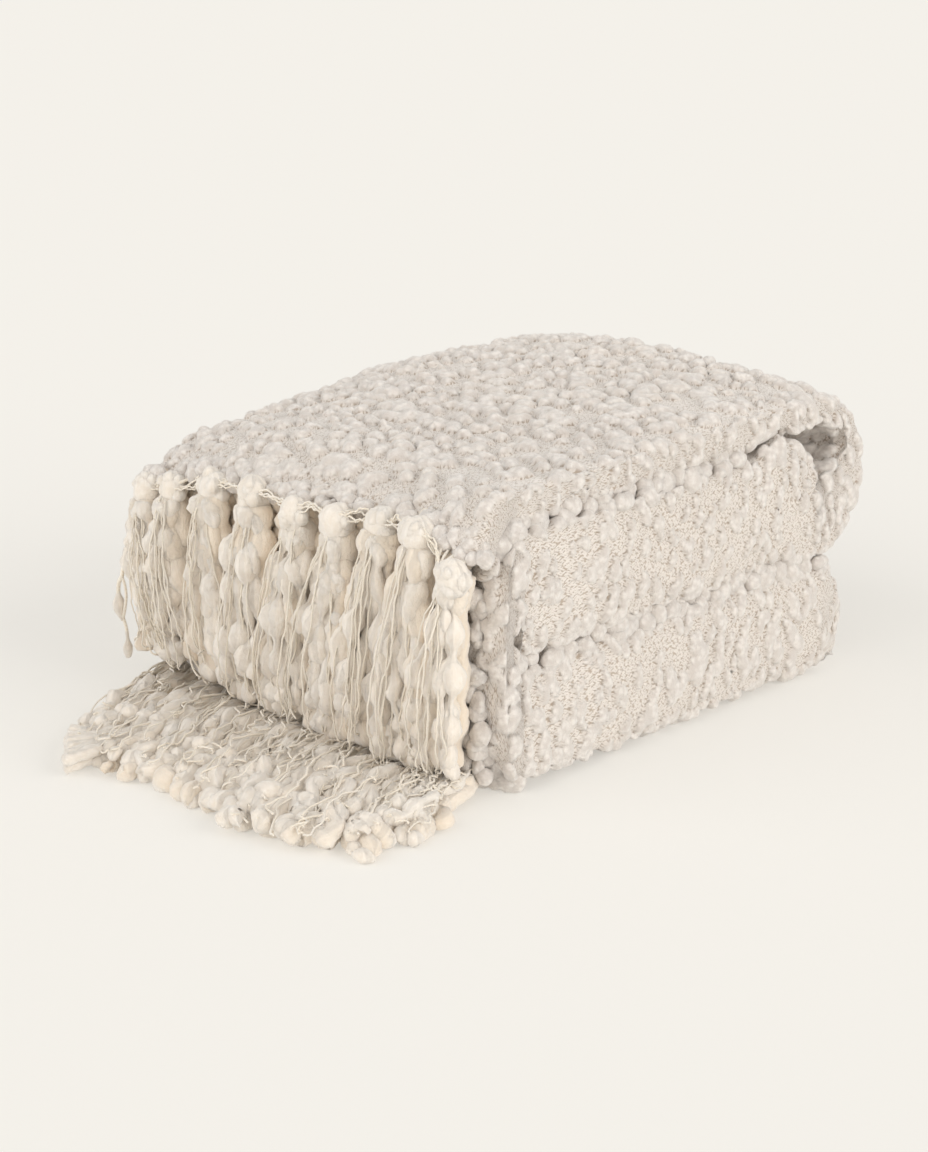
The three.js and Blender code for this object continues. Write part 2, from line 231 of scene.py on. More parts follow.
def level_height(level, x, y):
    """Three rows of heights blended along y, each bent across x by |x|^side, with a slow sway."""
    side, front, shoulder, back = LEVELS[level]
    if level == 0:
        return np.zeros(np.broadcast(x, y).shape)
    to_shoulder = smooth(LEVEL_ROWS[0], LEVEL_ROWS[1], y)
    to_back = smooth(LEVEL_ROWS[1], LEVEL_ROWS[2], y)
    left, middle, right = (
        lerp(lerp(front[k], shoulder[k], to_shoulder), back[k], to_back) for k in range(3)
    )
    out = np.abs(x) / HALF_WIDTH
    sway = SWAY * np.sin(x / 41 + level * 1.9) * np.sin(y / 53 + level * 2.3)
    height = lerp(middle, np.where(x < 0, left, right), out**side) + sway * (1 - out**6)
    return np.maximum(LOWEST, height)


def tightening(turn, x):
    """How much later than at its middle a turn starts at x."""
    return TURNS[turn][4] * smooth(0.3, 0.95, x / HALF_WIDTH)


def hollow(turn, x):
    """The share of a turn's size that its hollow takes: 0 until near the right-hand side."""
    return TURNS[turn][5] * smooth(0.5, 0.96, x / HALF_WIDTH)


def run_part(run, y):
    """Stations of one run at the places y: its ends, its thickness at x, and its points.

    A point lies straight between two levels. The top run stays clear of the one below it as far
    as the last turn's hollow goes.
    """
    left, right, flare, wrap, tuck = RUNS[run]
    drawn = 0 if run == 0 else smooth(FRONT_TURN + TIGHT_LONG, FRONT_TURN, y)
    heap = HEAP * smooth(*HEAP_FRONT, y) * smooth(*HEAP_BACK, y) if run == 2 else 0
    opened = smooth(HOLLOW_END, BACK_TURN_HIGH, y) if run == 3 else 0

    def upper(x):
        return level_height(run + 1, x, y) - APART + heap * smooth(0.6, 0.96, x / HALF_WIDTH)

    def lower(x):
        rest = level_height(run, x, y)
        lift = opened * hollow(2, x) * (upper(x) + APART - rest)
        return rest + (0 if run == 0 else APART) + lift

    def place(x, share):
        height = lerp(lower(x), upper(x), 1 - share if run % 2 else share)
        return stacked(x, y - drawn * tightening(1, x), height)

    flared = right + flare * smooth(FRONT_END + FLARE_LONG, FRONT_END, y)
    return (left, flared, wrap, tuck), lambda x: upper(x) - lower(x), place


def turn_part(turn, angle):
    """Stations round a turn: a point keeps its share of the strip, on an ellipse about a level."""
    level, way, y, reach, _, _ = TURNS[turn]
    up = (1 + np.sin(angle)) / 2
    shut = 1 if turn == 2 else smooth(1.02, 0.8, np.sin(angle))

    def middle(x):
        return level_height(level, x, y)

    def below(x):
        return middle(x) - level_height(level - 1, x, y)

    def above(x):
        return level_height(level + 1, x, y) - middle(x)

    def opening(x):
        return hollow(turn, x) * smooth(0.4, 0.8, up) * shut

    def place(x, share):
        size = np.where(angle < 0, below(x), above(x))
        side = np.abs(x) / HALF_WIDTH
        corner = 1 - TURN_NARROWS * side**6
        inner = APART / size + opening(x)
        outer = 1 - np.where((level == 1) & (angle < 0), 0, APART / size)
        out = lerp(inner, outer, share if turn % 2 else 1 - share)
        late = tightening(turn, x)
        along = late + np.cos(angle) * (reach - late) * corner * out
        return stacked(x, y + way * along, middle(x) + np.sin(angle) * size * out)

    ends = [lerp(RUNS[turn][k], RUNS[turn + 1][k], up) for k in (0, 1, 3, 4)]
    return ends, lambda x: lerp(below(x), above(x), up) * (1 - opening(x)) - 2 * APART, place


def roll_part(top, roll):
    """Stations where the top run rolls down over the front turn, at its own distance from it."""
    level, _, y, reach, _, _ = TURNS[1]

    def bottom(x):
        return level_height(top, x, y) + APART

    def thick(x):
        return level_height(top + 1, x, y - reach * np.sin(roll)) - bottom(x) - APART

    def place(x, share):
        middle = level_height(level, x, y)
        rise = bottom(x) - middle + (1 - share) * thick(x)
        late = tightening(1, x)
        forward = late + np.sin(roll) * (reach - late + APART + (1 - share) * thick(x))
        return stacked(x, y - forward, middle + np.cos(roll) * rise)

    left, right, _, wrap, tuck = RUNS[top]
    return (left, right, wrap, tuck), thick, place


def strip_table():
    """The strip's segments in order: name, how to make its stations, and its length along a.

    A turn's own parameter is spread evenly over the arc of the strip's outer face at x = 0.
    """
    ends = (FRONT_END, BACK_TURN_LOW, FRONT_TURN, BACK_TURN_HIGH, FRONT_TURN)
    table, start = [], 0.0
    for run in range(len(RUNS)):
        y0, y1 = ends[run : run + 2]
        length = abs(y1 - y0)
        table.append((f"run{run}", start, np.array([0, length]), np.array([y0, y1]), run, run_part))
        start += length
        name, angle, outer, make = "roll", np.linspace(0, ROLL_END, 41), 0.0, roll_part
        if run < len(TURNS):
            name, angle = f"turn{run}", np.linspace(-pi / 2, pi / 2, 97)
            outer, make = float(run % 2), turn_part
        middle, shares = np.zeros((angle.size, 1)), np.full((angle.size, 1), outer)
        _, _, place = make(run, angle[:, None])
        steps = np.diff(place(middle, shares)[:, 0], axis=0)
        arc = np.concatenate([[0], np.cumsum(np.linalg.norm(steps, axis=1))])
        table.append((name, start, arc, angle, run, make))
        start += arc[-1]
    return table


STRIP = strip_table()
STRIP_AT = {name: (start, knots[-1]) for name, start, knots, *_ in STRIP}


def along(name, share=0.0):
    """The distance along the strip, in millimetres, at a share of a segment's length."""
    start, length = STRIP_AT[name]
    return start + share * length


class Stations:
    """Places along the strip at distances a: their edges and wraps, thicknesses and points."""

    def __init__(self, a):
        self.parts = []
        self.ends = [np.zeros((a.size, 1)) for _ in range(4)]
        starts = np.array([row[1] for row in STRIP])
        segment = np.clip(np.searchsorted(starts, a, "right") - 1, 0, len(STRIP) - 1)
        for k, (_, start, knots, values, index, make) in enumerate(STRIP):
            rows = np.nonzero(segment == k)[0]
            if rows.size:
                parameter = np.interp(a[rows] - start, knots, values)[:, None]
                ends, thick, place = make(index, parameter)
                for mine, theirs in zip(self.ends, ends):
                    mine[rows] = theirs
                self.parts.append((rows, thick, place))

    def thick(self, x):
        """The strip's thickness at x, a row for each place along it."""
        out = np.empty(x.shape)
        for rows, thick, _ in self.parts:
            out[rows] = thick(x[rows])
        return out

    def place(self, x, share):
        """Points at x and a share of the strip's thickness, a row for each place along it."""
        out = np.empty((*x.shape, 3))
        for rows, _, place in self.parts:
            out[rows] = place(x[rows], share[rows])
        return out


def fold_shift():
    """From the fold's own frame to the part's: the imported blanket's box against the fold's box."""
    a = np.linspace(along("run0"), along("roll", 0.6), 400)
    stations = Stations(a)
    x, share, _ = outline(stations, np.linspace(1, 4, 240))
    points = stations.place(x, share).reshape(-1, 3)
    _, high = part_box("blanket")
    right, back = (high[k] / MM - points[:, k].max() for k in (0, 1))
    return np.array([right, back, 0.0])


# ---- the strip's outline ----------------------------------------------------------------------

FOLD_SHARE = 0.238  # half of what one left fold takes of the strip's thickness


def wrap_curve(angle):
    """Across and up on half a superellipse of size one, at an angle from its lowest point on."""
    across = np.abs(np.cos(angle)) ** WRAP_POWER
    return across, np.sign(np.sin(angle)) * np.abs(np.sin(angle)) ** WRAP_POWER


def wrap_angles():
    """A table that spreads the wrap's parameter evenly over the arc of a middling wrap."""
    angle = np.linspace(-pi / 2, pi / 2, 721)
    across, up = wrap_curve(angle)
    arc = np.concatenate([[0], np.cumsum(np.hypot(np.diff(28 * across), np.diff(46 * up)))])
    return arc / arc[-1], angle


WRAP_TABLE = wrap_angles()


def outline(stations, u):
    """Round the strip at u: 0-1 lower left fold, 1-2 face A, 2-3 wrap, 3-4 face B, 4-5 upper fold.

    Returns x, the share of the thickness, and b, the distance round the outline from x = 0 on
    face A. Folds are half ellipses, the wrap is half a superellipse, and faces are straight.
    """
    left, right, wrap, _ = stations.ends
    fold = FOLD_SHARE * stations.thick(left + 10)
    turn_from, wrap_from = left + fold, right - wrap
    u = np.broadcast_to(u, (left.shape[0], np.size(u)))
    t = u - np.clip(np.floor(u), 0, 4)

    on_wrap = np.where((u >= 2) & (u <= 3), u - 2, 0.5)
    across, up = wrap_curve(np.interp(on_wrap, *WRAP_TABLE))
    ring_x, ring_z = wrap_curve(np.interp(np.linspace(0, 1, 65), *WRAP_TABLE)[None])
    ring_x, ring_z = wrap * ring_x, ring_z / 2 * stations.thick(wrap_from + wrap / 2)
    wrap_long = np.hypot(np.diff(ring_x), np.diff(ring_z)).sum(1, keepdims=True)
    fold_long = pi * fold

    face_a, face_b = lerp(turn_from, wrap_from, t), lerp(wrap_from, turn_from, t)
    low_turn, high_turn = (1 - t) * pi, t * pi
    low_share, high_share = (FOLD_SHARE * (1 - np.cos(turn)) for turn in (low_turn, high_turn))
    high_from = wrap_from + wrap_long + wrap_from  # the distance round to x = 0 on face B
    high_fold = high_from - turn_from + fold_long * t
    parts = (  # x, share of the thickness and distance round of each part
        (turn_from - fold * np.sin(low_turn), low_share, turn_from - fold_long * (1 - t)),
        (face_a, 0, face_a),
        (wrap_from + wrap * across, (1 + up) / 2, wrap_from + wrap_long * t),
        (face_b, 1, high_from - face_b),
        (turn_from - fold * np.sin(high_turn), 1 - high_share, high_fold),
    )
    where = [u < 1, u < 2, u < 3, u < 4, u >= 4]
    return [np.select(where, column) for column in zip(*parts)]


FOLD_SHIFT = fold_shift()

# Where the knots are tied along the cloth's end, and how far it rolls down at each, in degrees.
KNOT_PLACES = (-154, -124, -82, -36, 10, 48, 88, 122, 156)
EDGE_ROLLS = (43, 41, 39, 39, 41, 39, 34, 35, 48)
EDGE_BLEND = 80.0


def edge_along(x, slack=7.0):
    """How far along the strip the cloth's end is at x.

    It follows EDGE_ROLLS, is drawn back by slack * sin^2 between neighbouring knots, and is ragged.
    """
    _, start, arc, angles, *_ = STRIP[-1]
    end = start + np.interp(np.radians(np.interp(x, KNOT_PLACES, EDGE_ROLLS)), angles, arc)
    between = np.interp(x, KNOT_PLACES, np.arange(len(KNOT_PLACES)))
    own = 0.6 + 0.8 * scatter(np.floor(between), 0, 5)
    ragged = ripple(x / 7, 0 * x, 71) * smooth(0, 4, slack)
    return end - slack * own * np.sin(pi * between) ** 2 + 1.3 * ragged


def drawn_back(grid, a, end):
    """Rows of a grid slid along the strip: its last row goes to end, one distance a column."""
    share = smooth(a[-1] - EDGE_BLEND, a[-1], a)[:, None]
    wanted = a[:, None] - share * (a[-1] - end)
    at = np.interp(wanted, a, np.arange(a.size))
    low = np.clip(np.floor(at).astype(int), 0, a.size - 2)
    column = np.arange(grid.shape[1])[None]
    return lerp(grid[low, column], grid[low + 1, column], (at - low)[..., None])


# ---- meshes from arrays -----------------------------------------------------------------------


def make_mesh(name, points, quads, triangles, uv, **attributes):
    """An object whose mesh has these points, in millimetres, and faces; smooth shaded.

    uv is one pair for each point. Every named array is a float for each point.
    """
    corners = np.concatenate([quads.ravel(), triangles.ravel()]).astype(np.int32)
    sizes = np.concatenate([np.full(len(quads), 4), np.full(len(triangles), 3)])
    starts = np.concatenate([[0], np.cumsum(sizes)[:-1]])
    mesh = bpy.data.meshes.new(name)
    mesh.vertices.add(len(points))
    mesh.vertices.foreach_set("co", ((points + FOLD_SHIFT) * MM).astype(np.float32).ravel())
    mesh.loops.add(corners.size)
    mesh.loops.foreach_set("vertex_index", corners)
    mesh.polygons.add(sizes.size)
    mesh.polygons.foreach_set("loop_start", starts.astype(np.int32))
    mesh.polygons.foreach_set("use_smooth", np.ones(sizes.size, bool))
    mesh.update(calc_edges=True)
    layer = mesh.uv_layers.new(name="cut")
    layer.data.foreach_set("uv", uv[corners].astype(np.float32).ravel())
    for key, values in attributes.items():
        layer = mesh.attributes.new(key, "FLOAT", "POINT")
        layer.data.foreach_set("value", values.astype(np.float32).ravel())
    mesh.validate()
    piece = bpy.data.objects.new(name, mesh)
    bpy.context.scene.collection.objects.link(piece)
    return piece


def make_joined(name, parts, key="tone", lowest=0.0):
    """One piece from parts: points, quads, triangles, uv, and the values of an attribute, key."""
    columns = [[], [], [], [], []]
    first = 0
    for points, quads, triangles, uv, values in parts:
        for column, array in zip(columns, (points, quads + first, triangles + first, uv, values)):
            column.append(array)
        first += len(points)
    points, quads, triangles, uv, values = (np.concatenate(column) for column in columns)
    points[:, 2] = np.maximum(points[:, 2], lowest)
    return make_mesh(name, points, quads, triangles, uv, **{key: values})


def grid_faces(rows, columns, first=0, closed=False):
    """Quads between the rows of a grid of points, numbered row by row from first."""
    i, j = np.meshgrid(np.arange(rows - 1), np.arange(columns - (not closed)), indexing="ij")
    k = (j + 1) % columns
    at = first + i * columns
    return stacked(at + j, at + k, at + columns + k, at + columns + j).reshape(-1, 4)


def closed_faces(strands, rings, sides):
    """Faces of closed rings of points on each strand: quads, and a fan of triangles at each end.

    A strand's points are its rings in order, then the point that closes its start and its end's.
    """
    count = rings * sides
    k = np.arange(sides)
    after, last = (k + 1) % sides, count - sides
    start, end = stacked(count, after, k), stacked(count + 1, last + k, last + after)
    own = np.arange(strands)[:, None, None] * (count + 2)
    quads = grid_faces(rings, sides, closed=True)[None] + own
    fans = np.concatenate([start, end])[None] + own
    return quads.reshape(-1, 4), fans.reshape(-1, 3)


def facing_out(points, quads, triangles, outward):
    """Faces turned so that their normals agree with outward, a vector for each point."""
    a, b, c = (points[quads[:, k]] for k in range(3))
    agree = (np.cross(b - a, c - a) * outward[quads[:, 0]]).sum()
    return (quads, triangles) if agree > 0 else (quads[:, ::-1], triangles[:, ::-1])


# ---- the boucle's nap -------------------------------------------------------------------------

PUFF_SPACING = 13.8
PUFF_REACH = (5.2, 8.6)
PUFFS_MISSING = 0.15  # the share of cells without a puff
NAP_HIGH = 5.8
GROUND_SUNK = 2.2
FACINGS = (  # axis, seed, how much longer than wide a puff is, and how large and how high
    (0, 100, (1.3, 2.4), 0.92, 0.8),
    (1, 200, (1.1, 1.8), 0.92, 0.9),
    (2, 300, (1.0, 1.5), 0.9, 1.1),
)


def clumps(place, size, seed):
    """Rounded lumps in space, 1 on top and about 0.3 between: 1 - (distance / size)^2.

    The distance is to the nearest of jittered points, one in each cube of the size.
    """
    at = place / size
    nearest = np.ones(place.shape[:-1])
    for step in np.ndindex(3, 3, 3):
        own = np.floor(at) + step - 1
        key = own[..., 0] + 57 * own[..., 2]
        gaps = (
            (at[..., n] - own[..., n] - 0.1 - 0.8 * scatter(key, own[..., 1], seed + n)) ** 2
            for n in range(3)
        )
        nearest = np.minimum(nearest, sum(gaps))
    return 1 - nearest


def puff_cells(p, q, seed, longer, share):
    """Puffs on a plane, from 0 to about 1, longer along q.

    Jittered cells of PUFF_SPACING each hold one puff, a dome (1 - d^2)^0.5 over an ellipse whose
    place is warped by ripples. Puffs join as (a^5 + b^5)^(1/5), and some places stay bare.
    """
    warp_p, warp_q = (
        2.2 * ripple(p / 8, q / 8, seed + k) + 0.8 * ripple(p / 3.6, q / 3.6, seed + k + 1)
        for k in (0, 2)
    )
    bare = ripple(p / 46, q / 46, seed + 4) + 0.7 * ripple(p / 21, q / 21, seed + 5)
    p, q = p + warp_p, q + warp_q
    i0, j0 = np.floor(p / PUFF_SPACING), np.floor(q / PUFF_SPACING)
    joined = np.zeros(p.shape)
    for di, dj in np.ndindex(3, 3):
        i, j = i0 + di - 1, j0 + dj - 1
        own = [scatter(i, j, seed + k) for k in range(6, 13)]  # seven fixed numbers for each puff
        dp = p - (i + 0.5 + 0.8 * (own[0] - 0.5)) * PUFF_SPACING
        dq = q - (j + 0.5 + 0.8 * (own[1] - 0.5)) * PUFF_SPACING
        size = share * lerp(*PUFF_REACH, own[2]) * (1 - 0.22 * bare)
        size = size * (own[3] > PUFFS_MISSING)
        angle = (own[4] - 0.5) * 1.2
        long = lerp(*longer, own[5]) ** 0.5
        u = (dq * np.cos(angle) + dp * np.sin(angle)) / long
        v = (-dq * np.sin(angle) + dp * np.cos(angle)) * long**0.8
        d = (u * u + v * v) / np.maximum(size, 1e-3) ** 2
        high = (0.66 + 0.34 * own[6]) * (np.maximum(size, 0.1) / 6.5) ** 0.5
        joined += (np.clip(1 - d, 0, 1) ** 0.5 * high) ** 5
    return np.minimum(joined**0.2, 1.15)


def nap_field(place, normal):
    """The puffs at places in space: those on the plane that faces most nearly the same way.

    Each of the three planes fades out as the surface turns away from it, and the highest counts.
    """
    facing = np.abs(normal)
    highest = np.zeros(place.shape[:-1])
    for axis, seed, longer, size, high in FACINGS:
        p, q = ((1, 2), (0, 2), (1, 0))[axis]
        share = smooth(0.42, 0.66, facing[..., axis])
        near = share > 0
        puff = np.zeros(share.shape)
        puff[near] = puff_cells(place[near][:, p], place[near][:, q], seed, longer, size)
        highest = np.maximum(highest, puff * share * high)
    return highest


def ripple3(place, size, seed):
    """Smooth noise from -1 to 1 in space: two slanted planes of ripple, turned into each other."""
    x, y, z = np.moveaxis(place / size, -1, 0)
    first = ripple(x + 0.37 * z, y - 0.61 * z, seed)
    second = ripple(z + 0.43 * x, 0.71 * y - 0.29 * x + 0.5 * z, seed + 1)
    return (first + second) * 0.75


def cut_uv(a, b):
    """Where a place is on the uncut cloth, in the unit square: two metres are 1."""
    return stacked(0.2 + b / 2000, 0.02 + a / 2000)


SKIN_STEP = 8  # cells of the face for each cell of its back
SKIN_DEEP = 6.5
EDGE_DROP = (3.2, 0.4)  # the last two rows of a skin dip under its neighbour


def outline_places(u_parts):
    """Places round the outline for rows of (from, to, cells), to a whole number of coarse cells."""
    u = np.concatenate([np.linspace(p, q, n, endpoint=False) for p, q, n in u_parts])
    spare = (-u.size) % SKIN_STEP
    knots = np.linspace(0, 1, u.size + 1)
    return np.interp(np.linspace(0, 1, u.size + spare + 1), knots, [*u, u_parts[-1][1]])


def nap_height(base, puff):
    """How far a skin's face stands out: puffs of NAP_HIGH, uneven by clumps, on a fine ground.

    A slow swell is added, and the face drops at its edges.
    """
    swell = 0.9 * ripple3(base, 70, 31) + 0.4 * ripple3(base, 30, 33)
    fine = 0.45 * ripple3(base, 4.4, 23) + 0.3 * ripple3(base, 9.0, 21)
    relief = puff * NAP_HIGH * lerp(0.74, 1.0, clumps(base, 5.4, 61))
    relief = relief + fine * lerp(0.3, 0.7, smooth(0, 0.5, puff))
    row, column = (np.minimum(np.arange(n), np.arange(n)[::-1]) for n in puff.shape)
    from_edge = np.minimum(row[:, None], column)
    drop = np.select([from_edge == 0, from_edge == 1], EDGE_DROP, 0.0)
    return relief - GROUND_SUNK + swell - drop


def edge_faces(n, m, q):
    """Triangles round the edge, from a grid of n by m points to a coarse one, q wide, after it.

    Each fine edge leans on the nearest coarse point, and each coarse edge on its middle.
    """
    rim = np.concatenate(
        [
            np.arange(m - 1),
            np.arange(n - 1) * m + m - 1,
            (n - 1) * m + np.arange(m - 1, 0, -1),
            np.arange(n - 1, 0, -1) * m,
        ]
    )
    hem = n * m + (rim // m // SKIN_STEP) * q + rim % m // SKIN_STEP
    k = np.arange(rim.size)
    low = k - k % SKIN_STEP
    half = np.where(k % SKIN_STEP < SKIN_STEP // 2, low, low + SKIN_STEP) % rim.size
    fine = stacked(rim[(k + 1) % rim.size], rim[k], hem[half])
    k = np.arange(0, rim.size, SKIN_STEP)
    coarse = stacked(rim[k + SKIN_STEP // 2], hem[k], hem[(k + SKIN_STEP) % rim.size])
    return np.concatenate([fine, coarse])


def skin_arrays(a_span, u_parts, at_end=False):
    """Arrays of one closed skin: the napped face of the cloth over a window of the strip.

    The face is the outline at u carried along the strip, moved along its normal by nap_height.
    Its back is a coarse copy SKIN_DEEP below, joined to it round the window's edge. a_span is
    (start, end, cells) and u_parts rows of (start, end, cells).
    """
    start, end, count = a_span
    a = np.linspace(start, end, int(np.ceil(count / SKIN_STEP)) * SKIN_STEP + 1)
    stations = Stations(a)
    x, share, b = outline(stations, outline_places(u_parts))
    base = stations.place(x, share)
    inside = stations.place(x - 2 * (x > 0) + 2 * (x < 0), lerp(share, 0.5, 0.1))
    a2 = np.broadcast_to(a[:, None], b.shape)
    if at_end:
        whole = np.concatenate([base, inside, a2[..., None], b[..., None]], -1)
        whole = drawn_back(whole, a, edge_along(x[-1]))
        base, inside, a2, b = whole[..., :3], whole[..., 3:6], whole[..., 6], whole[..., 7]

    normal = unit(np.cross(np.gradient(base, axis=0), np.gradient(base, axis=1)))
    normal *= np.sign((normal * (base - inside)).sum())
    puff = nap_field(base, normal)
    face = base + normal * nap_height(base, puff)[..., None]
    face[..., 2] = np.maximum(face[..., 2], 0.2)
    step = (slice(None, None, SKIN_STEP),) * 2
    back = (base - normal * SKIN_DEEP)[step]
    back[..., 2] = np.maximum(back[..., 2], 0.1)

    (n, m), (p, q) = face.shape[:2], back.shape[:2]
    points = np.concatenate([face.reshape(-1, 3), back.reshape(-1, 3)])
    outward = np.concatenate([normal.reshape(-1, 3), -normal[step].reshape(-1, 3)])
    quads = np.concatenate([grid_faces(n, m), grid_faces(p, q, n * m)[:, ::-1]])
    quads, triangles = facing_out(points, quads, edge_faces(n, m, q), outward)
    uv = cut_uv(a2, b)
    uv = np.concatenate([uv.reshape(-1, 2), uv[step].reshape(-1, 2)])
    return points, quads, triangles, uv, np.concatenate([puff.ravel(), np.zeros(p * q)])


def make_skin(name, windows, at_end=False):
    """One piece from several windows of the strip."""
    parts = [skin_arrays(a_span, u_parts, at_end) for a_span, u_parts in windows]
    return make_joined(name, parts, "nap")


def cells(length, size):
    """How many cells of about a size a length has."""
    return max(2, int(round(length / size)))


def a_window(start, end, size, spill=2):
    """A window along the strip with cells of a size, which spills over both ends."""
    count = cells(end - start, size)
    real = (end - start) / count
    return start - spill * real, end + spill * real, count + 2 * spill


FINE = 1.5  # size of the cells on the faces that show best
FACE_LONG = 320.0  # about how far a face reaches across

# Windows round the outline, as rows of (from, to, cells): outline says what each unit of u is.
TOP = ((0.08, 1, 24), (1, 2, cells(FACE_LONG, FINE)), (2, 3, 40), (3, 3.05, 10))
BACK_HIGH = ((0.08, 1, 24), (1, 2, cells(FACE_LONG, 1.8)), (2, 3, 66), (3, 3.28, 46))
BACK_LOW = ((0.08, 1, 22), (1, 2, cells(FACE_LONG, 1.8)), (2, 3, 60), (3, 3.06, 10))
WRAP_HIGH = ((1.93, 2, 14), (2, 3, 104), (3, 3.07, 14))
WRAP_LOW = ((1.94, 2, 12), (2, 3, 92), (3, 3.07, 14))
FRONT = ((1.9, 2, 12), (2, 3, 70), (3, 4, cells(FACE_LONG, 2.4)), (4, 4.92, 18))
HOLLOW_FLOOR = ((3.04, 3.32, 44),)
HOLLOW_ROOF = ((3.03, 3.28, 40),)
LOW_CORNER = ((1.8, 2, 32), (2, 3, 24), (3, 3.2, 32))
LOWER_FOLD = ((0.08, 1, 18), (1, 1.05, 6))
UPPER_FOLD = ((3.95, 4, 6), (4, 4.92, 18))


def segment(name, size):
    """A window over a whole segment of the strip."""
    return a_window(along(name), along(name, 1), size)


def make_skins():
    """The napped faces that show, one piece for each side of the pile, and the hollow's inside."""
    left = [(f"run{k}", 2.2, fold) for k in range(3) for fold in (LOWER_FOLD, UPPER_FOLD)]
    left += [("turn0", 2.4, UPPER_FOLD), ("turn1", 2.4, LOWER_FOLD), ("turn2", 2.4, UPPER_FOLD)]
    left += [("run3", 2.2, UPPER_FOLD)]
    end = along("roll", 1)
    start, _, count = a_window(along("run3"), end, FINE)
    side_high = [
        (segment("run2", FINE), WRAP_HIGH),
        (a_window(along("run2", 0.6), along("run2", 1), 2.0), HOLLOW_FLOOR),
        (a_window(along("run3"), along("run3", 0.38), 2.0), HOLLOW_ROOF),
    ]
    corner = a_window(along("run0") + 1, along("run0") + 90, 2.0, 0)
    return [
        make_skin("nap_top", [((start, end, count - 2), TOP)], at_end=True),
        make_skin("nap_back_high", [(segment("turn2", 1.7), BACK_HIGH)]),
        make_skin("nap_back_low", [(segment("turn0", 1.7), BACK_LOW)]),
        make_skin("nap_side_high", side_high),
        make_skin("nap_side_low", [(segment("run1", FINE), WRAP_LOW), (corner, LOW_CORNER)]),
        make_skin("nap_front", [(segment("turn1", 2.0), FRONT)]),
        make_skin("nap_left", [(segment(name, size), fold) for name, size, fold in left]),
    ]


# ---- the cloth itself -------------------------------------------------------------------------

SHEET_SHARE = 0.14  # the plain sheet's own share of the cloth's thickness under the nap
SHEET_IN = 2.0
SHEET_BACK = 9.0  # how far the plain sheet stops before the napped face does
SHEET_MIDDLE = 400.0  # about half the width of the uncut cloth, folds and all
SHEET_CELLS = {"run": 18, "turn": 14, "roll": 8}


def sheet_line(stations):
    """The middle line of the book-folded cloth: x, height, thickness and distance round it.

    From one side edge: second layer, left turn, top layer, wrap, lowest layer, left turn, third
    layer. Layers are straight, turns half ellipses and the wrap half a superellipse.
    """
    left, right, wrap, tuck = stations.ends
    left, right, wrap = left + SHEET_IN, right - SHEET_IN, wrap - SHEET_IN
    raw_edge = right - wrap - tuck

    def cloth_at(x):
        layers = lerp(LAYERS, 2, smooth(raw_edge, raw_edge + 18, x))
        return np.minimum(CLOTH_THICK, FILL * stations.thick(x) / layers)

    def layer_at(x, share):
        half = cloth_at(x) / 2
        return lerp(half, stations.thick(x) - half, share)

    edge = left + 10
    reach = (layer_at(edge, 1) - layer_at(edge, 0)) / 6
    turn_from = left + cloth_at(edge) / 2 + reach
    wrap_from = right - wrap
    wrap_reach = wrap - cloth_at(wrap_from) / 2
    xs, heights = [], []

    def layer(start, end, share, places):
        x = lerp(start, end, places[None])
        xs.append(x)
        heights.append(layer_at(x, share))

    def left_turn(start, end):
        angle = np.linspace(0, pi, 9)[None]
        low, high = layer_at(turn_from, start), layer_at(turn_from, end)
        xs.append(turn_from - reach * np.sin(angle))
        heights.append(lerp(low, high, (1 - np.cos(angle)) / 2))

    outer = np.linspace(0, 1, 11)[1:-1]
    layer(raw_edge, turn_from, 2 / 3, np.linspace(0, 0.93, 7))
    left_turn(2 / 3, 1)
    layer(turn_from, wrap_from, 1, outer)
    across, lift = wrap_curve(np.interp(np.linspace(1, 0, 17), *WRAP_TABLE)[None])
    x = wrap_from + wrap_reach * across
    xs.append(x)
    heights.append(layer_at(wrap_from + (x - wrap_from) / 2, (1 + lift) / 2))
    layer(turn_from, wrap_from, 0, outer[::-1])
    left_turn(0, 1 / 3)
    layer(turn_from, raw_edge, 1 / 3, np.linspace(0.07, 1, 7))
    x, height = np.concatenate(xs, 1), np.concatenate(heights, 1)
    steps = np.hypot(np.diff(x), np.diff(height))
    b = np.concatenate([np.zeros((x.shape[0], 1)), np.cumsum(steps, 1)], 1)
    return x, height, cloth_at(x), b


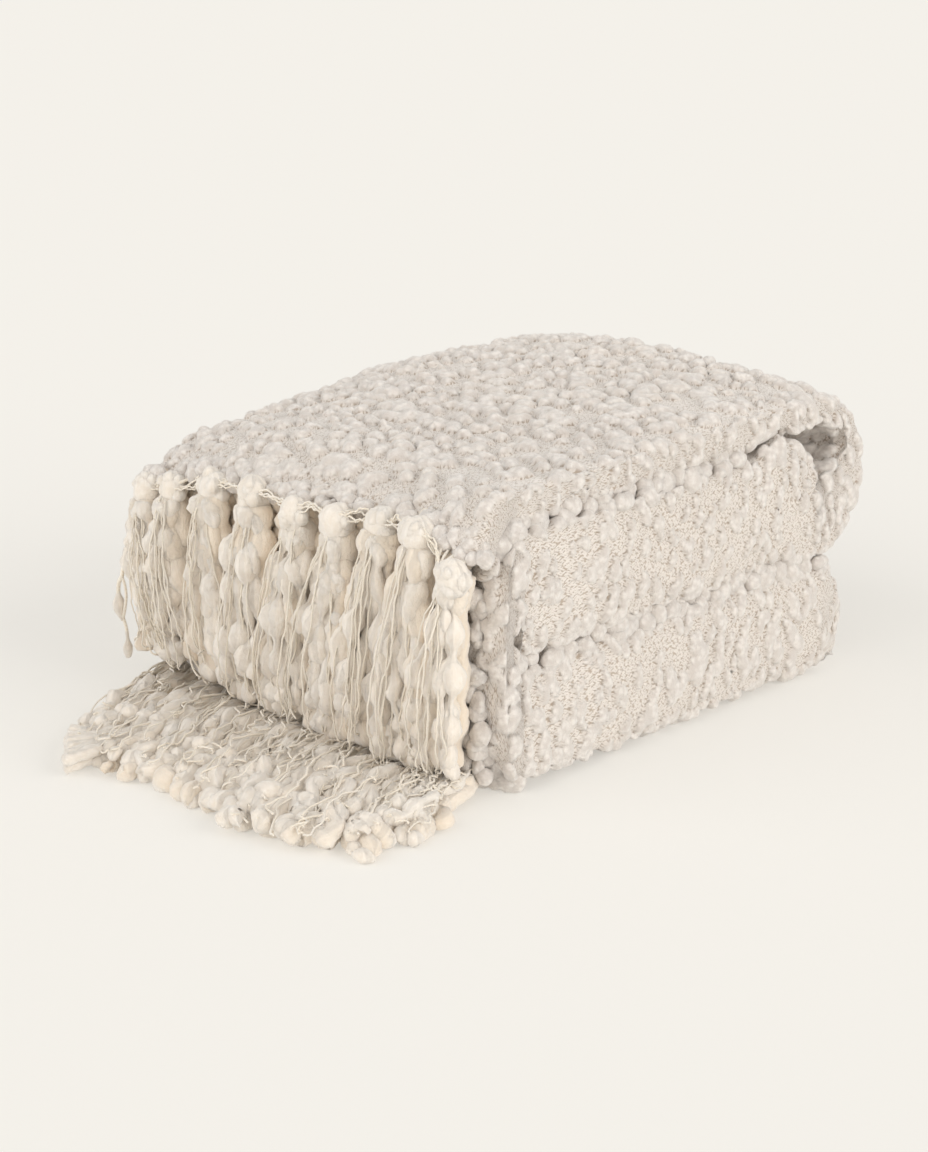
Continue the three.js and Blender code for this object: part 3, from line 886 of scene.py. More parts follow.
def make_sheet():
    """The whole throw as one thin closed sheet: its middle line moved half its thickness out."""
    a = []
    for name, *_ in STRIP:
        count = SHEET_CELLS[name.rstrip("0123")]
        a.extend(along(name, k / count) for k in range(count))
    a = np.array([*a, along("roll", 1)])
    a[0] += 1.0
    stations = Stations(a)
    x, height, cloth, b = sheet_line(stations)
    dx, dz = np.gradient(x, axis=1), np.gradient(height, axis=1)
    long = np.maximum(np.hypot(dx, dz), 1e-9)
    half = cloth * SHEET_SHARE / 2
    faces = []
    for sign in (1, -1):
        fx, fz = x - sign * dz / long * half, height + sign * dx / long * half
        face = stations.place(fx, np.clip(fz / stations.thick(fx), 0, 1))
        faces.append(drawn_back(face, a, edge_along(x[-1]) - SHEET_BACK))
    ring = np.concatenate([faces[0], faces[1][:, ::-1]], 1)
    ring[..., 2] = np.maximum(ring[..., 2], 0.1)
    n, m = ring.shape[:2]
    i = np.arange(m // 2 - 1)
    cap = stacked(i, m - 1 - i, m - 2 - i, i + 1)
    far_cap = ((n - 1) * m + cap)[:, ::-1]
    quads = np.concatenate([grid_faces(n, m, closed=True), cap, far_cap])
    points = ring.reshape(-1, 3)
    middle = (faces[0] + faces[1]) / 2
    outward = ring - np.concatenate([middle, middle[:, ::-1]], 1)
    no_triangles = np.zeros((0, 3), int)
    quads, triangles = facing_out(points, quads, no_triangles, outward.reshape(-1, 3))
    across = np.concatenate([b, b[:, ::-1]], 1) - SHEET_MIDDLE
    uv = cut_uv(np.broadcast_to(a[:, None], (n, m)), across)
    return make_mesh("throw_cloth", points, quads, triangles, uv.reshape(-1, 2))


# ---- the fringes ------------------------------------------------------------------------------

# Strands are worked out all at once: a path is an array (strands, places along, 3) in the fold's
# own millimetres, and every random number comes from a generator with a fixed seed.

TASSELS = len(KNOT_PLACES)
TASSEL_ENDS = (-134, -106, -70, -42, -8, 28, 66, 108, 147)
TASSEL_LOWS = (30, 25, 21, 17, 14, 12, 11, 11, 13)
KNOT_Y = -137.0
LEFT_LIMIT, LEFT_SLOPE = -165.0, 0.97  # at KNOT_Y and per unit forward: it clears the stray yarn
RIGHT_LIMIT = 161
HANGING = (  # share of the way down, then of the fan's width and of the way forward there
    (0, 0.3, 0.5),
    (0.2, 0.5, 0.8),
    (0.5, 0.9, 1),
    (0.8, 1, 1),
    (1, 0.8, 0.8),
)
TOP_STRANDS = (
    # per tassel, puffs, share filled, thickness, thinnest, how far forward, how short, how tan
    # (painted shade: the deeper the strands, the more tan)
    (2, 5, (0.9, 1.2), (8.0, 9.6), 6.4, (1, 5), (0.0, 0.5), (3.0, 4.0)),
    (5, 5, (0.8, 1.1), (7.4, 9.4), 5.4, (7, 14), (0.0, 0.7), (2.2, 3.4)),
    (4, 5, (0.74, 1.0), (6.0, 8.4), 3.0, (11, 17), (0.0, 0.9), (0.6, 1.6)),
    (4, 5, (0.6, 0.9), (5.4, 7.8), 2.2, (15, 20), (0.1, 1.0), (0.0, 0.8)),
)
TOP_YARNS = 10  # in each tassel
ROUND_KNOT = 7  # smaller balls round each knot
NECK_YARNS, SLACK_YARNS = 7, 4  # into each knot, and from each knot to the next

FLOOR_START = -112.0
FLOOR_ROOTS = (-138, -96, -58, -22, 14, 50, 84, 114, 138)
FLOOR_TIPS = np.array(
    [
        [-68.0, -40, 0, 36, 70, 103, 136, 162, 170],
        [-262, -256, -252, -250, -256, -262, -254, -234, -202],
    ]
).T  # x and y, a row for each tassel
# how tan is painted shade: the lower the strands, the more tan
FLOOR_STRANDS = (  # per tassel, thickness, thinnest, where the puffs start, heights, how tan
    (5, (6.0, 7.6), 3.6, 0.16, (7, 8), (2.0, 3.2)),
    (5, (5.4, 7.8), 2.8, 0.22, (10, 13), (0.6, 1.8)),
    (4, (4.8, 7.4), 2.0, 0.28, (13, 16), (0.0, 1.0)),
)
FLOOR_YARNS = ((9, (12, 18)), (11, (18, 23)))  # per tassel, and heights
FLOOR_HEAPS = 110  # loose puffs among the ends
TUFT_STRANDS = 12
SLUBS_HIGH, YARNS_HIGH = 26, 29  # the floor fringe stays below these
FLOOR_CLEAR = 0.3


def carried_frames(path):
    """Two directions square to each path, carried along it without twisting (by reflections)."""
    tangent = unit(np.gradient(path, axis=1))
    side = np.empty_like(path)
    guess = np.where(np.abs(tangent[:, 0, :1]) < 0.8, [[1.0, 0, 0]], [[0, 1.0, 0]])
    side[:, 0] = unit(np.cross(tangent[:, 0], guess))
    for k in range(path.shape[1] - 1):
        ahead = tangent[:, k + 1]
        side[:, k + 1] = unit(side[:, k] - (side[:, k] * ahead).sum(-1, keepdims=True) * ahead)
    return tangent, side, np.cross(tangent, side)


def fluffed(points, outward, size):
    """Points moved along outward by clumps of cotton; it grows with the size up to 6 mm."""
    amount = 2.6 * smooth(1.5, 6.0, size)
    lumpy = 0.7 * clumps(points, 6.4, 77) - 0.42 + 0.55 * ripple3(points, 9.0, 81)
    lumpy = lumpy + 0.28 * ripple3(points, 2.8, 79)
    return points + outward * (lumpy * amount)[..., None]


def tube_arrays(path, radius, sides, uneven, seed, tone):
    """Closed tubes: rings of the radius round each path, uneven by sines of the angle, and capped.

    Each end is closed by a point half a radius beyond it. uv is the share of the turn and the
    distance along, two to the metre; tone is one number for each strand.
    """
    strands, places = path.shape[:2]
    tangent, side, over = carried_frames(path)
    turn = np.arange(sides) / sides
    angle = 2 * pi * turn
    random = np.random.default_rng(seed)
    phase = random.uniform(0, 2 * pi, (3, strands, 1, 1))
    arc = np.cumsum(np.linalg.norm(np.diff(path, axis=1, prepend=path[:, :1]), axis=-1), axis=1)
    way = arc[:, :, None] / 9
    wave = np.sin(2 * angle + phase[0] + way) + 0.7 * np.sin(3 * angle + phase[1] - 1.3 * way)
    wave = wave + 0.6 * np.sin(phase[2] + 1.7 * way + angle)
    size = radius[:, :, None] * (1 + uneven * wave / 2)
    ring = side[:, :, None] * np.cos(angle)[:, None] + over[:, :, None] * np.sin(angle)[:, None]
    points = path[:, :, None] + ring * size[..., None]
    if uneven:
        points = fluffed(points, ring, size)
    before = path[:, 0] - tangent[:, 0] * radius[:, :1] * 0.5
    beyond = path[:, -1] + tangent[:, -1] * radius[:, -1:] * 0.5
    body = points.reshape(strands, -1, 3)
    every = np.concatenate([body, before[:, None], beyond[:, None]], 1).reshape(-1, 3)
    uv = stacked(turn, arc[:, :, None] / 500).reshape(strands, -1, 2)
    uv = np.concatenate([uv, stacked(0.5, arc[:, [0, -1]] / 500)], 1)
    quads, triangles = closed_faces(strands, places, sides)
    return every, quads, triangles, uv.reshape(-1, 2), np.repeat(tone, body.shape[1] + 2)


def ball_arrays(centres, sizes, rows, columns, seed):
    """Fluffy balls: ellipsoids of the half sizes, moved in and out by clumps of cotton."""
    polar = np.linspace(0, pi, rows + 2)[1:-1]
    angle = np.arange(columns) / columns * 2 * pi
    wide, high = np.sin(polar)[:, None], np.cos(polar)[:, None]
    ring = stacked(wide * np.cos(angle), wide * np.sin(angle), high)
    shape = np.concatenate([ring.reshape(-1, 3), [[0, 0, 1.0], [0, 0, -1.0]]])
    outward = np.broadcast_to(shape, (len(centres), *shape.shape))
    points = fluffed(centres[:, None] + shape * sizes[:, None], outward, sizes.mean(1)[:, None])
    quads, triangles = closed_faces(len(centres), rows, columns)
    turn = np.concatenate([np.tile(angle / (2 * pi), rows), [0.5, 0.5]])
    down = np.concatenate([np.repeat(polar / pi, columns), [0, 1]]) * 0.05
    uv = np.tile(stacked(turn, down), (len(centres), 1))
    tones = np.repeat(np.random.default_rng(seed).uniform(0, 1, len(centres)), len(shape))
    return points.reshape(-1, 3), quads[:, ::-1], triangles[:, [0, 2, 1]], uv, tones


RINGS = 10  # rings of a tube for each puff


def puff_rows(random, strands, count, filled, thick, thin, start=0.0):
    """Shares along strands of puffs, and the radius at each.

    A strand has count puffs at an uneven pitch that fill a share of it. At t half lengths from its
    middle a puff has the radius thin + (thick - thin) * (1 - t^2)^0.62, and the largest counts.
    """
    pitch = (1 - start) / count
    shift = random.uniform(-0.16, 0.16, (strands, count))
    middle = start + (np.arange(count) + 0.5 + shift) * pitch
    reach = random.uniform(*filled, (strands, count)) * pitch / 2
    size = random.uniform(*thick, (strands, count))
    share = share_line(strands, count * RINGS + 1)
    t = (share[..., None] - middle[:, None]) / reach[:, None]
    dome = np.clip(1 - t**2, 0, 1) ** 0.62 * (size[:, None] - thin)
    rounded = np.clip((1.01 - share) / 0.07, 0, 1) ** 0.5
    return share, (thin + dome.max(-1)) * rounded


def blended(points, share):
    """Smooth paths through a few places, at a row of shares for each strand: Catmull-Rom.

    Between b and c, with a before and d after them, a path is at half of
    2b + (c - a)t + (2a - 5b + 4c - d)t^2 + (3b - a - 3c + d)t^3.
    """
    count = points.shape[1]
    padded = np.concatenate([points[:, :1], points, points[:, -1:]], 1)
    at = share * (count - 1)
    k = np.clip(np.floor(at).astype(int), 0, count - 2)
    t = (at - k)[..., None]
    row = np.arange(len(points))[:, None]
    a, b, c, d = (padded[row, k + n] for n in range(4))
    bend = (2 * a - 5 * b + 4 * c - d) * t**2 + (3 * b - a - 3 * c + d) * t**3
    return 0.5 * (2 * b + (c - a) * t + bend)


def waver(random, share, sizes, waves):
    """Slow sideways waves for paths: two sines in each direction, growing from nothing."""
    share = share[..., None]
    phase = random.uniform(0, 2 * pi, (2, len(share), 1, 3))
    turns = random.uniform(0.7, 1.3, (len(share), 1, 3)) * waves
    wave = np.sin(2 * pi * turns * share + phase[0])
    wave = wave + 0.5 * np.sin(4.6 * pi * turns * share + phase[1])
    return wave * np.array(sizes) * smooth(0, 0.25, share)


def share_line(strands, places):
    """Even shares from 0 to 1, a row for each strand."""
    return np.broadcast_to(np.linspace(0, 1, places), (strands, places))


def simple_paths(stops, places):
    """Shares and smooth paths of many places through a few stops, each a row for every strand."""
    share = share_line(len(stops[0]), places)
    return share, blended(np.stack(stops, 1), share)


def cloth_edge(x):
    """The lower corner of the napped cloth's hanging end, at places x."""
    x = np.asarray(x, float)
    stations = Stations(edge_along(x, 0))
    return stations.place(x[:, None], np.full((x.size, 1), 0.03))[:, 0]


def hanging_paths(random, tassel, share, front, spread, short):
    """Strands of the hanging tassels: from the knot, out over the body, and in again at the end."""
    strands = tassel.size
    knot, end, low = (np.take(row, tassel) for row in (KNOT_PLACES, TASSEL_ENDS, TASSEL_LOWS))
    fan = random.uniform(-1, 1, strands)
    depth = random.uniform(*front, strands)
    lift = random.uniform(*short, strands) ** 1.5
    top = cloth_edge(knot)[:, 2] - 12
    end_z = low + lift * 28 + 3
    rows = []
    for at, width, deep in HANGING:
        x = lerp(knot, end, at) + fan * spread * width + random.normal(0, 2.4, strands) * at
        y = KNOT_Y + 9 - depth * deep + random.normal(0, 1.4, strands)
        x = np.maximum(x, LEFT_LIMIT - LEFT_SLOPE * (y - KNOT_Y) + random.uniform(0, 5, strands))
        x = np.minimum(x, RIGHT_LIMIT - random.uniform(0, 14, strands))
        rows.append(stacked(x, y, lerp(top, end_z, at)))
    return blended(np.stack(rows, 1), share)


def curled_ends(random, path, share, size, start=0.86):
    """The last stretch of each path swung round in a small curl."""
    each = (len(path), 1, 1)
    swing = smooth(start, 1.0, share)[..., None]
    turn = random.uniform(0, 2 * pi, each) + swing * random.uniform(1.5, 4.2, each)
    reach = size * swing * random.uniform(0.4, 1.0, each)
    curl = [np.cos(turn), np.sin(turn) * 0.5 - 0.4, 0.6 * np.sin(turn) + 0.5]
    return path + np.concatenate(curl, -1) * reach


def each_tassel(per):
    """The number of the tassel that each strand belongs to, with per strands in each."""
    return np.repeat(np.arange(TASSELS), per)


def yarn_arrays(random, path, thick, seed):
    """Plied yarns along paths, each with its own thickness and tone."""
    strands, places = path.shape[:2]
    radius = thick * random.uniform(0.85, 1.15, (strands, 1)) * np.ones((strands, places))
    return tube_arrays(path, radius, 4, 0, seed, random.uniform(0, 1, strands))


def tied_knots(random, knots):
    """A fluffy ball at each knot, with smaller ones round it, as where loose cotton is tied."""
    sizes = np.array([12.0, 11.0, 12.5]) * random.uniform(0.9, 1.08, (TASSELS, 3))
    count = TASSELS * ROUND_KNOT
    ways = unit(random.normal(0, 1, (count, 3)) * [1, 0.8, 1])
    ways[:, 1] = -np.abs(ways[:, 1])
    small = np.repeat(knots, ROUND_KNOT, 0) + ways * [8.8, 6, 8.8]
    return [
        ball_arrays(knots, sizes, 13, 20, 1),
        ball_arrays(small, random.uniform(4.6, 6.8, (count, 3)), 7, 11, 2),
    ]


def make_fringe_top():
    """Nine knots over the cloth's end, with puffed strands and plied yarns hanging from them."""
    random = np.random.default_rng(7)
    knots = cloth_edge(KNOT_PLACES) + [0, -5.0, -6.0] + random.normal(0, 1.4, (TASSELS, 3))
    slubs = tied_knots(random, knots)
    gathers = [neck_yarns(random, knots), slack_yarns(random, knots)]
    slubs.append(shaded_puffs(random))
    for per, count, filled, thick, thin, front, short, depth_shade in TOP_STRANDS:
        tassel = each_tassel(per)
        share, radius = puff_rows(random, tassel.size, count, filled, thick, thin)
        path = hanging_paths(random, tassel, share, front, 19.0, short)
        path += waver(random, share, (2.6, 1.6, 0), 1.4)
        tone = random.uniform(*depth_shade, tassel.size)
        slubs.append(tube_arrays(path, radius, 10, 0.24, 3 + count, tone))

    tassel = each_tassel(TOP_YARNS)
    share = share_line(tassel.size, 40)
    path = hanging_paths(random, tassel, share, (19, 31), 20.0, (0.0, 0.9))
    path += waver(random, share, (1.2, 1.0, 0), 1.6) + waver(random, share, (0.35, 0.3, 0), 8.0)
    path = curled_ends(random, path, share, 4.5)
    yarns = [yarn_arrays(random, path, 0.75, 4), *gathers, *stray_loop()]
    slubs.extend(stray_puffs())
    return (
        make_joined("fringe_top_slubs", slubs, lowest=FLOOR_CLEAR),
        make_joined("fringe_top_yarns", yarns, lowest=FLOOR_CLEAR),
    )


def shaded_puffs(random):
    """Rows of tan puffs under the cloth's edge, deep between and behind the knots: their tan is
    painted shade.
    """
    x = np.tile(np.arange(-150, 148, 9.0), 4)
    down = np.repeat([4.0, 14.0, 24.0, 36.0], x.size // 4)
    place = cloth_edge(x) + random.normal(0, 1.8, (x.size, 3))
    place += stacked(0, 10, -down)
    *shape, tones = ball_arrays(place, random.uniform(6, 9, (x.size, 3)), 6, 9, 9)
    # a tone of 3 or more gives the full tan, painted shade in the pocket behind the knots
    return (*shape, tones + 3.0)


def neck_yarns(random, knots):
    """Yarns drawn from the cloth's edge into each knot."""
    owner = each_tassel(NECK_YARNS)
    fan = np.tile(np.linspace(-1, 1, NECK_YARNS), TASSELS)
    start = cloth_edge(np.minimum(knots[owner, 0] + fan * 15, 160.0)) + [0, 1.0, 0]
    end = knots[owner] + stacked(fan * 7, -2, 5)
    middle = lerp(start, end, 0.5) + stacked(0, -4, 2 - 2 * np.abs(fan))
    share, path = simple_paths([start, middle, end], 10)
    radius = random.uniform(0.7, 1.4, (owner.size, 1)) * np.ones(share.shape)
    return tube_arrays(path, radius, 6, 0.1, 5, random.uniform(0, 1, owner.size))


def slack_yarns(random, knots):
    """Slack arcs of yarn from each knot to the next."""
    gap = np.repeat(np.arange(TASSELS - 1), SLACK_YARNS)
    count = gap.size
    reach = random.uniform(5, 11, (2, count))

    def tied(knot, away):
        forward, up = random.uniform(-7, -1, count), random.uniform(1, 9, count)
        return knots[knot] + stacked(away, forward, up)

    start, end = tied(gap, reach[0]), tied(gap + 1, -reach[1])
    rise = random.uniform(-5, 3, count)
    middle = lerp(start, end, 0.5) + stacked(0, 1.5 - 0.3 * rise, 2 + rise)
    share, path = simple_paths([start, middle, end], 18)
    path += waver(random, share, (0, 0.8, 0.8), 2.0)
    return tube_arrays(path, np.full(share.shape, 0.65), 5, 0, 6, random.uniform(0, 1, count))


# the stray yarn at the left: down from the cloth, round both sides of its loop, and its end
STRAY_TOP = ((-160, -134, 108), (-172, -134, 104), (-181, -134, 92), (-186, -134, 77))
STRAY_LEFT = (
    (-186, -134, 77),
    (-190, -134, 71),
    (-191, -134, 63),
    (-190, -134, 52),
    (-187, -134, 43),
)
STRAY_RIGHT = (
    (-186, -134, 77),
    (-183, -134, 71),
    (-182, -134, 63),
    (-184, -134, 53),
    (-187, -134, 44),
)
STRAY_LOW = (
    (-187, -134, 46),
    (-185, -133, 38),
    (-184, -133, 30),
    (-184, -133, 22),
    (-184, -133, 15),
)


def stray_part(places, start, count):
    """One strand through places, from a share of its way on, and the shares along it."""
    share = share_line(1, count)
    return share, blended(np.array([places], float), lerp(start, 1, share))


def stray_loop():
    """A stray yarn at the left that opens into a thin loop and closes again below it."""
    parts = []
    rows = ((STRAY_TOP, 1.6), (STRAY_LEFT, 1.6), (STRAY_RIGHT, 1.2), (STRAY_LOW, 1.3))
    for k, (places, thick) in enumerate(rows):
        share, path = stray_part(places, 0, 22)
        radius = np.full(share.shape, thick)
        parts.append(tube_arrays(path, radius, 6, 0.08, 20 + k, np.array([0.5])))
    return parts


def stray_puffs():
    """The fluff where the stray loop closes, and the drop at its end."""
    share, path = stray_part(STRAY_LEFT, 0.45, 20)
    thick = 1.3 + 3.0 * np.sin(pi * share) ** 1.5
    middle = tube_arrays(path, thick, 8, 0.12, 31, np.array([0.4]))
    share, path = stray_part(STRAY_LOW, 0.35, 20)
    drop = 1.3 + 3.4 * smooth(0.2, 0.75, share) * (np.clip(1.02 - share, 0, 0.5) / 0.5) ** 0.5
    return [middle, tube_arrays(path, drop, 10, 0.08, 32, np.array([0.6]))]


def lying_paths(random, tassel, share, spread, heights, bend, reach=(0.78, 1.06)):
    """Strands lying on the floor: straight out from the cloth, then swept round to the tips."""
    strands = tassel.size
    root, tips = np.take(FLOOR_ROOTS, tassel), FLOOR_TIPS[tassel]
    fan = random.uniform(-1, 1, strands)
    long = random.uniform(*reach, strands)
    x0 = root + fan * spread
    y0 = np.full(strands, FLOOR_START + 2.0)
    z0 = random.uniform(4, 20, strands)
    x3 = lerp(x0, tips[:, 0] + fan * spread * 1.15, long)
    y3 = lerp(y0, tips[:, 1] + random.normal(0, 5, strands), long)
    high = random.uniform(*heights, strands)
    swing = random.uniform(-1, 1, strands) * bend
    heights = (z0, lerp(z0, high, 0.6), high, high * 0.95, high * 0.75)
    rows = []
    for at, z in zip((0, 0.3, 0.62, 0.86, 1), heights):
        x = lerp(x0, x3, at) - 5 * sin(pi * at) + swing * sin(2 * pi * at)
        y = lerp(y0, y3, at) + random.normal(0, 2.0, strands) * at
        rows.append(stacked(x, y, z + random.normal(0, 0.8, strands)))
    return blended(np.stack(rows, 1), share)


def make_fringe_floor():
    """The other end's fringe on the floor, swept to the right, its puffs and yarns tangled."""
    random = np.random.default_rng(19)
    slubs, yarns = [], []
    for k, (per, thick, thin, start, heights, depth_shade) in enumerate(FLOOR_STRANDS):
        tassel = each_tassel(per)
        share, radius = puff_rows(random, tassel.size, 4, (0.8, 1.15), thick, thin, start)
        path = lying_paths(random, tassel, share, 15.0, heights, 6.0)
        path += waver(random, share, (4.5, 3.0, 1.0), 1.6)
        path[..., 2] = np.clip(path[..., 2], radius * 0.95, SLUBS_HIGH - radius)
        tone = random.uniform(*depth_shade, tassel.size)
        slubs.append(tube_arrays(path, radius, 10, 0.26, 40 + k, tone))
    slubs += [floor_heaps(random), left_tuft(random)]

    for k, (per, heights) in enumerate(FLOOR_YARNS):
        tassel = each_tassel(per)
        share = share_line(tassel.size, 36)
        path = lying_paths(random, tassel, share, 16.0, heights, 5.0, (0.35, 1.05))
        path += waver(random, share, (2.6, 2.0, 0.8), 2.4)
        path += waver(random, share, (0.5, 0.4, 0.3), 8.0)
        path = curled_ends(random, path, share, 7.0, 0.8)
        path[..., 2] = np.clip(path[..., 2], 1.0, YARNS_HIGH)
        yarns.append(yarn_arrays(random, path, 0.8, 60 + k))
    return (
        make_joined("fringe_floor_slubs", slubs, lowest=FLOOR_CLEAR),
        make_joined("fringe_floor_yarns", yarns, lowest=FLOOR_CLEAR),
    )


def floor_heaps(random):
    """Loose puffs heaped over the outer half of the floor fringe, lower towards its ends."""
    count = FLOOR_HEAPS
    tassel = np.arange(count) % TASSELS
    share = random.uniform(0.62, 1.0, count)
    ends = FLOOR_TIPS[tassel]
    size = random.uniform([5, 5, 4.5], [8.5, 8, 6], (count, 3))
    x = lerp(np.take(FLOOR_ROOTS, tassel), ends[:, 0], share) + random.uniform(-17, 17, count)
    y = lerp(FLOOR_START, ends[:, 1], share) + random.uniform(-5, 5, count)
    z = size[:, 2] * 0.9 + random.uniform(0, 1, count) * 14 * (1 - smooth(0.7, 1.0, share))
    return ball_arrays(stacked(x, y, z), size, 6, 10, 51)


def left_tuft(random):
    """A pale tuft of loose cotton that reaches out at the far left, flared to a blunt end."""
    strands = TUFT_STRANDS
    fan = np.linspace(-1, 1, strands)
    high = np.arange(strands) % 2
    start = stacked(-70 + 12 * fan, -226 - 4 * fan, 8 + 3 * high)
    middle = stacked(-74 + 13 * fan, -248 - 11 * fan, 7 + 5 * high)
    ragged = random.normal(0, 1, strands)
    end = stacked(-80 + 22 * fan, -266 - 17 * fan + ragged, 5 + 9 * high)
    share, path = simple_paths([start, middle, end], 16)
    radius = lerp(6.0, 4.2, share) * random.uniform(0.85, 1.1, (strands, 1))
    return tube_arrays(path, radius, 10, 0.15, 53, np.full(strands, 0.1))


# ---- materials --------------------------------------------------------------------------------


def colour(r, g, b):
    """A linear colour from display values of 0 to 255."""
    parts = [v / 255 for v in (r, g, b)]
    return (*[p / 12.92 if p < 0.04045 else ((p + 0.055) / 1.055) ** 2.4 for p in parts], 1)


# the gap colour is painted shade between the stitches
GROUND, GROUND_GAP_SHADE = colour(232, 223, 214), colour(177, 160, 143)
# the deep fleece colour is painted shade between the cotton's lumps, mottled at random by the fibre
FLEECE_SHADED, FLEECE_PALE = colour(219, 210, 202), colour(246, 239, 232)
FLEECE_PATCH, PATCH_SHARE = colour(235, 226, 215), 0.25
# the deep slub colour is painted shade between the cotton's lumps, with random fibre streaks
SLUB_SHADED, SLUB_PALE = colour(237, 227, 214), colour(249, 242, 233)
# the tan is painted shade on the deeper and lower strands, and a little random tone on the others
SLUB_TAN_AND_SHADE = colour(240, 224, 203)
YARN_PALE, YARN_TONED = colour(251, 244, 232), colour(247, 237, 220)
# the groove colour is painted shade between the plies
YARN_GROOVE_SHADE = colour(237, 220, 195)
STITCH_WIDE, STITCH_LONG, STITCH_SLANT = 0.0014, 0.0038, 34  # metres and degrees
PUFF_FLUFF, SLUB_FLUFF = 0.0048, 0.005  # sizes of the cotton's lumps
PLIES, LAY = 2.0, 0.0056  # plies in a yarn, and how far along the uv one takes to go round
CLOTH_METRES = (2.0, 2.0, 2.0)  # what the uv square is across, see cut_uv


class Graph:
    """Makes nodes in one node tree and links them, a short way to write a shader."""

    def __init__(self, tree):
        self.tree = tree

    def node(self, kind, *values, inputs=None, **settings):
        """A node with these settings, its inputs fed in order or by name."""
        made = self.tree.nodes.new("ShaderNode" + kind)
        for key, value in settings.items():
            setattr(made, key, value)
        for key, value in [*enumerate(values), *(inputs or {}).items()]:
            self.feed(made.inputs[key], value)
        return made

    def feed(self, socket, value):
        if isinstance(value, bpy.types.NodeSocket):
            self.tree.links.new(value, socket)
        elif value is not None:
            socket.default_value = value

    def math(self, operation, *values, clamp=False):
        return self.node("Math", *values, operation=operation, use_clamp=clamp).outputs[0]

    def vector_math(self, operation, *values):
        return self.node("VectorMath", *values, operation=operation).outputs[0]

    def ramp(self, value, low, high, bottom=0.0, top=1.0):
        return self.node("MapRange", value, low, high, bottom, top, clamp=True).outputs[0]

    def mix(self, share, a, b):
        inputs = {"Factor": share, "A": a, "B": b}
        return self.node("Mix", inputs=inputs, data_type="RGBA").outputs["Result"]

    def noise(self, place, scale, detail=2.0, roughness=0.5):
        inputs = {"Vector": place, "Scale": scale, "Detail": detail, "Roughness": roughness}
        return self.node("TexNoise", inputs=inputs, noise_dimensions="3D").outputs["Fac"]

    def cells(self, kind, feature, **inputs):
        """The distance to the nearest of jittered points, from 0 at one of them."""
        made = self.node("TexVoronoi", inputs=inputs, voronoi_dimensions=kind, feature=feature)
        return made.outputs["Distance"]

    def bump(self, height, distance, strength, normal=None):
        inputs = {"Height": height, "Distance": distance, "Strength": strength, "Normal": normal}
        return self.node("Bump", inputs=inputs).outputs["Normal"]

    def attribute(self, name):
        return self.node("Attribute", attribute_name=name).outputs["Fac"]

    def cut(self):
        """The uv: a place on the uncut cloth, or round and along a strand."""
        return self.node("UVMap", uv_map="cut").outputs[0]

    def place(self):
        return self.node("TexCoord").outputs["Object"]

    def split(self, vector):
        return self.node("SeparateXYZ", vector).outputs

    def group(self, tree, *values):
        return self.node("Group", *values, node_tree=tree).outputs


def make_group(name, inputs, outputs, build):
    """A shader node group: inputs and outputs are rows of (name, kind), and build wires it."""
    group = bpy.data.node_groups.new(name, "ShaderNodeTree")
    for sockets, way in ((inputs, "INPUT"), (outputs, "OUTPUT")):
        for title, kind in sockets:
            group.interface.new_socket(title, in_out=way, socket_type="NodeSocket" + kind)
    entry, out = group.nodes.new("NodeGroupInput"), group.nodes.new("NodeGroupOutput")
    results = build(Graph(group), *[entry.outputs[title] for title, _ in inputs])
    for (title, _), result in zip(outputs, results):
        group.links.new(result, out.inputs[title])
    return group


def build_chips(g, cloth, width, long):
    """Short slanted stitches: two sets of long cells, turned to either side.

    A chip is high within about half a cell of its own point, and the higher set is seen. The gap,
    where chips are low, marks the painted shade between the stitches.
    """
    found = []
    for sign in (1.0, -1.0):
        turned = g.node("Mapping", cloth, vector_type="POINT")
        turned.inputs["Rotation"].default_value = (0, 0, sign * radians(STITCH_SLANT))
        turned.inputs["Location"].default_value = (0.37 * sign, 0.21 * sign, 0)
        shape = g.node("CombineXYZ", g.math("DIVIDE", 1.0, width), g.math("DIVIDE", 1.0, long), 0.0)
        place = g.vector_math("MULTIPLY", turned.outputs[0], shape.outputs[0])
        cell = g.cells("2D", "F1", Vector=place, Scale=1.0, Randomness=0.75)
        found.append(g.ramp(cell, 0.18, 0.52, 1.0, 0.0))
    height = g.math("MAXIMUM", found[0], g.math("MULTIPLY", found[1], 0.9))
    return height, g.ramp(height, 0.05, 0.6, 1.0, 0.0)


def build_fluff(g, place, size):
    """Loose cotton: rounded lumps of a size with a fine fibre over them, and their painted shade:
    darker between the lumps, mottled at random by the fibre.
    """
    scale = g.math("DIVIDE", 1.0, size)
    cell = g.cells("3D", "SMOOTH_F1", Vector=place, Scale=scale, Smoothness=0.35)
    lump = g.math("SUBTRACT", 1.0, cell)
    fibre = g.noise(place, g.math("DIVIDE", 2.6, size), 4.0, 0.72)
    height = g.math("MULTIPLY_ADD", fibre, 0.8, g.math("MULTIPLY", lump, 0.35))
    shade = g.math("MULTIPLY_ADD", fibre, 0.5, g.math("MULTIPLY", lump, 0.5))
    return height, g.ramp(shade, 0.42, 0.66)


def build_ply(g, yarn, plies, lay):
    """Plies twisted round each other: rounded ridges that climb as they go round, and the grooves
    between them, where shade is painted.
    """
    turn, down, _ = g.split(yarn)
    climb = g.math("DIVIDE", down, lay)
    ridge = g.math("FRACT", g.math("ADD", climb, g.math("MULTIPLY", turn, plies)))
    height = g.math("SINE", g.math("MULTIPLY", ridge, pi))
    return height, g.ramp(height, 0.0, 0.6, 1.0, 0.0)


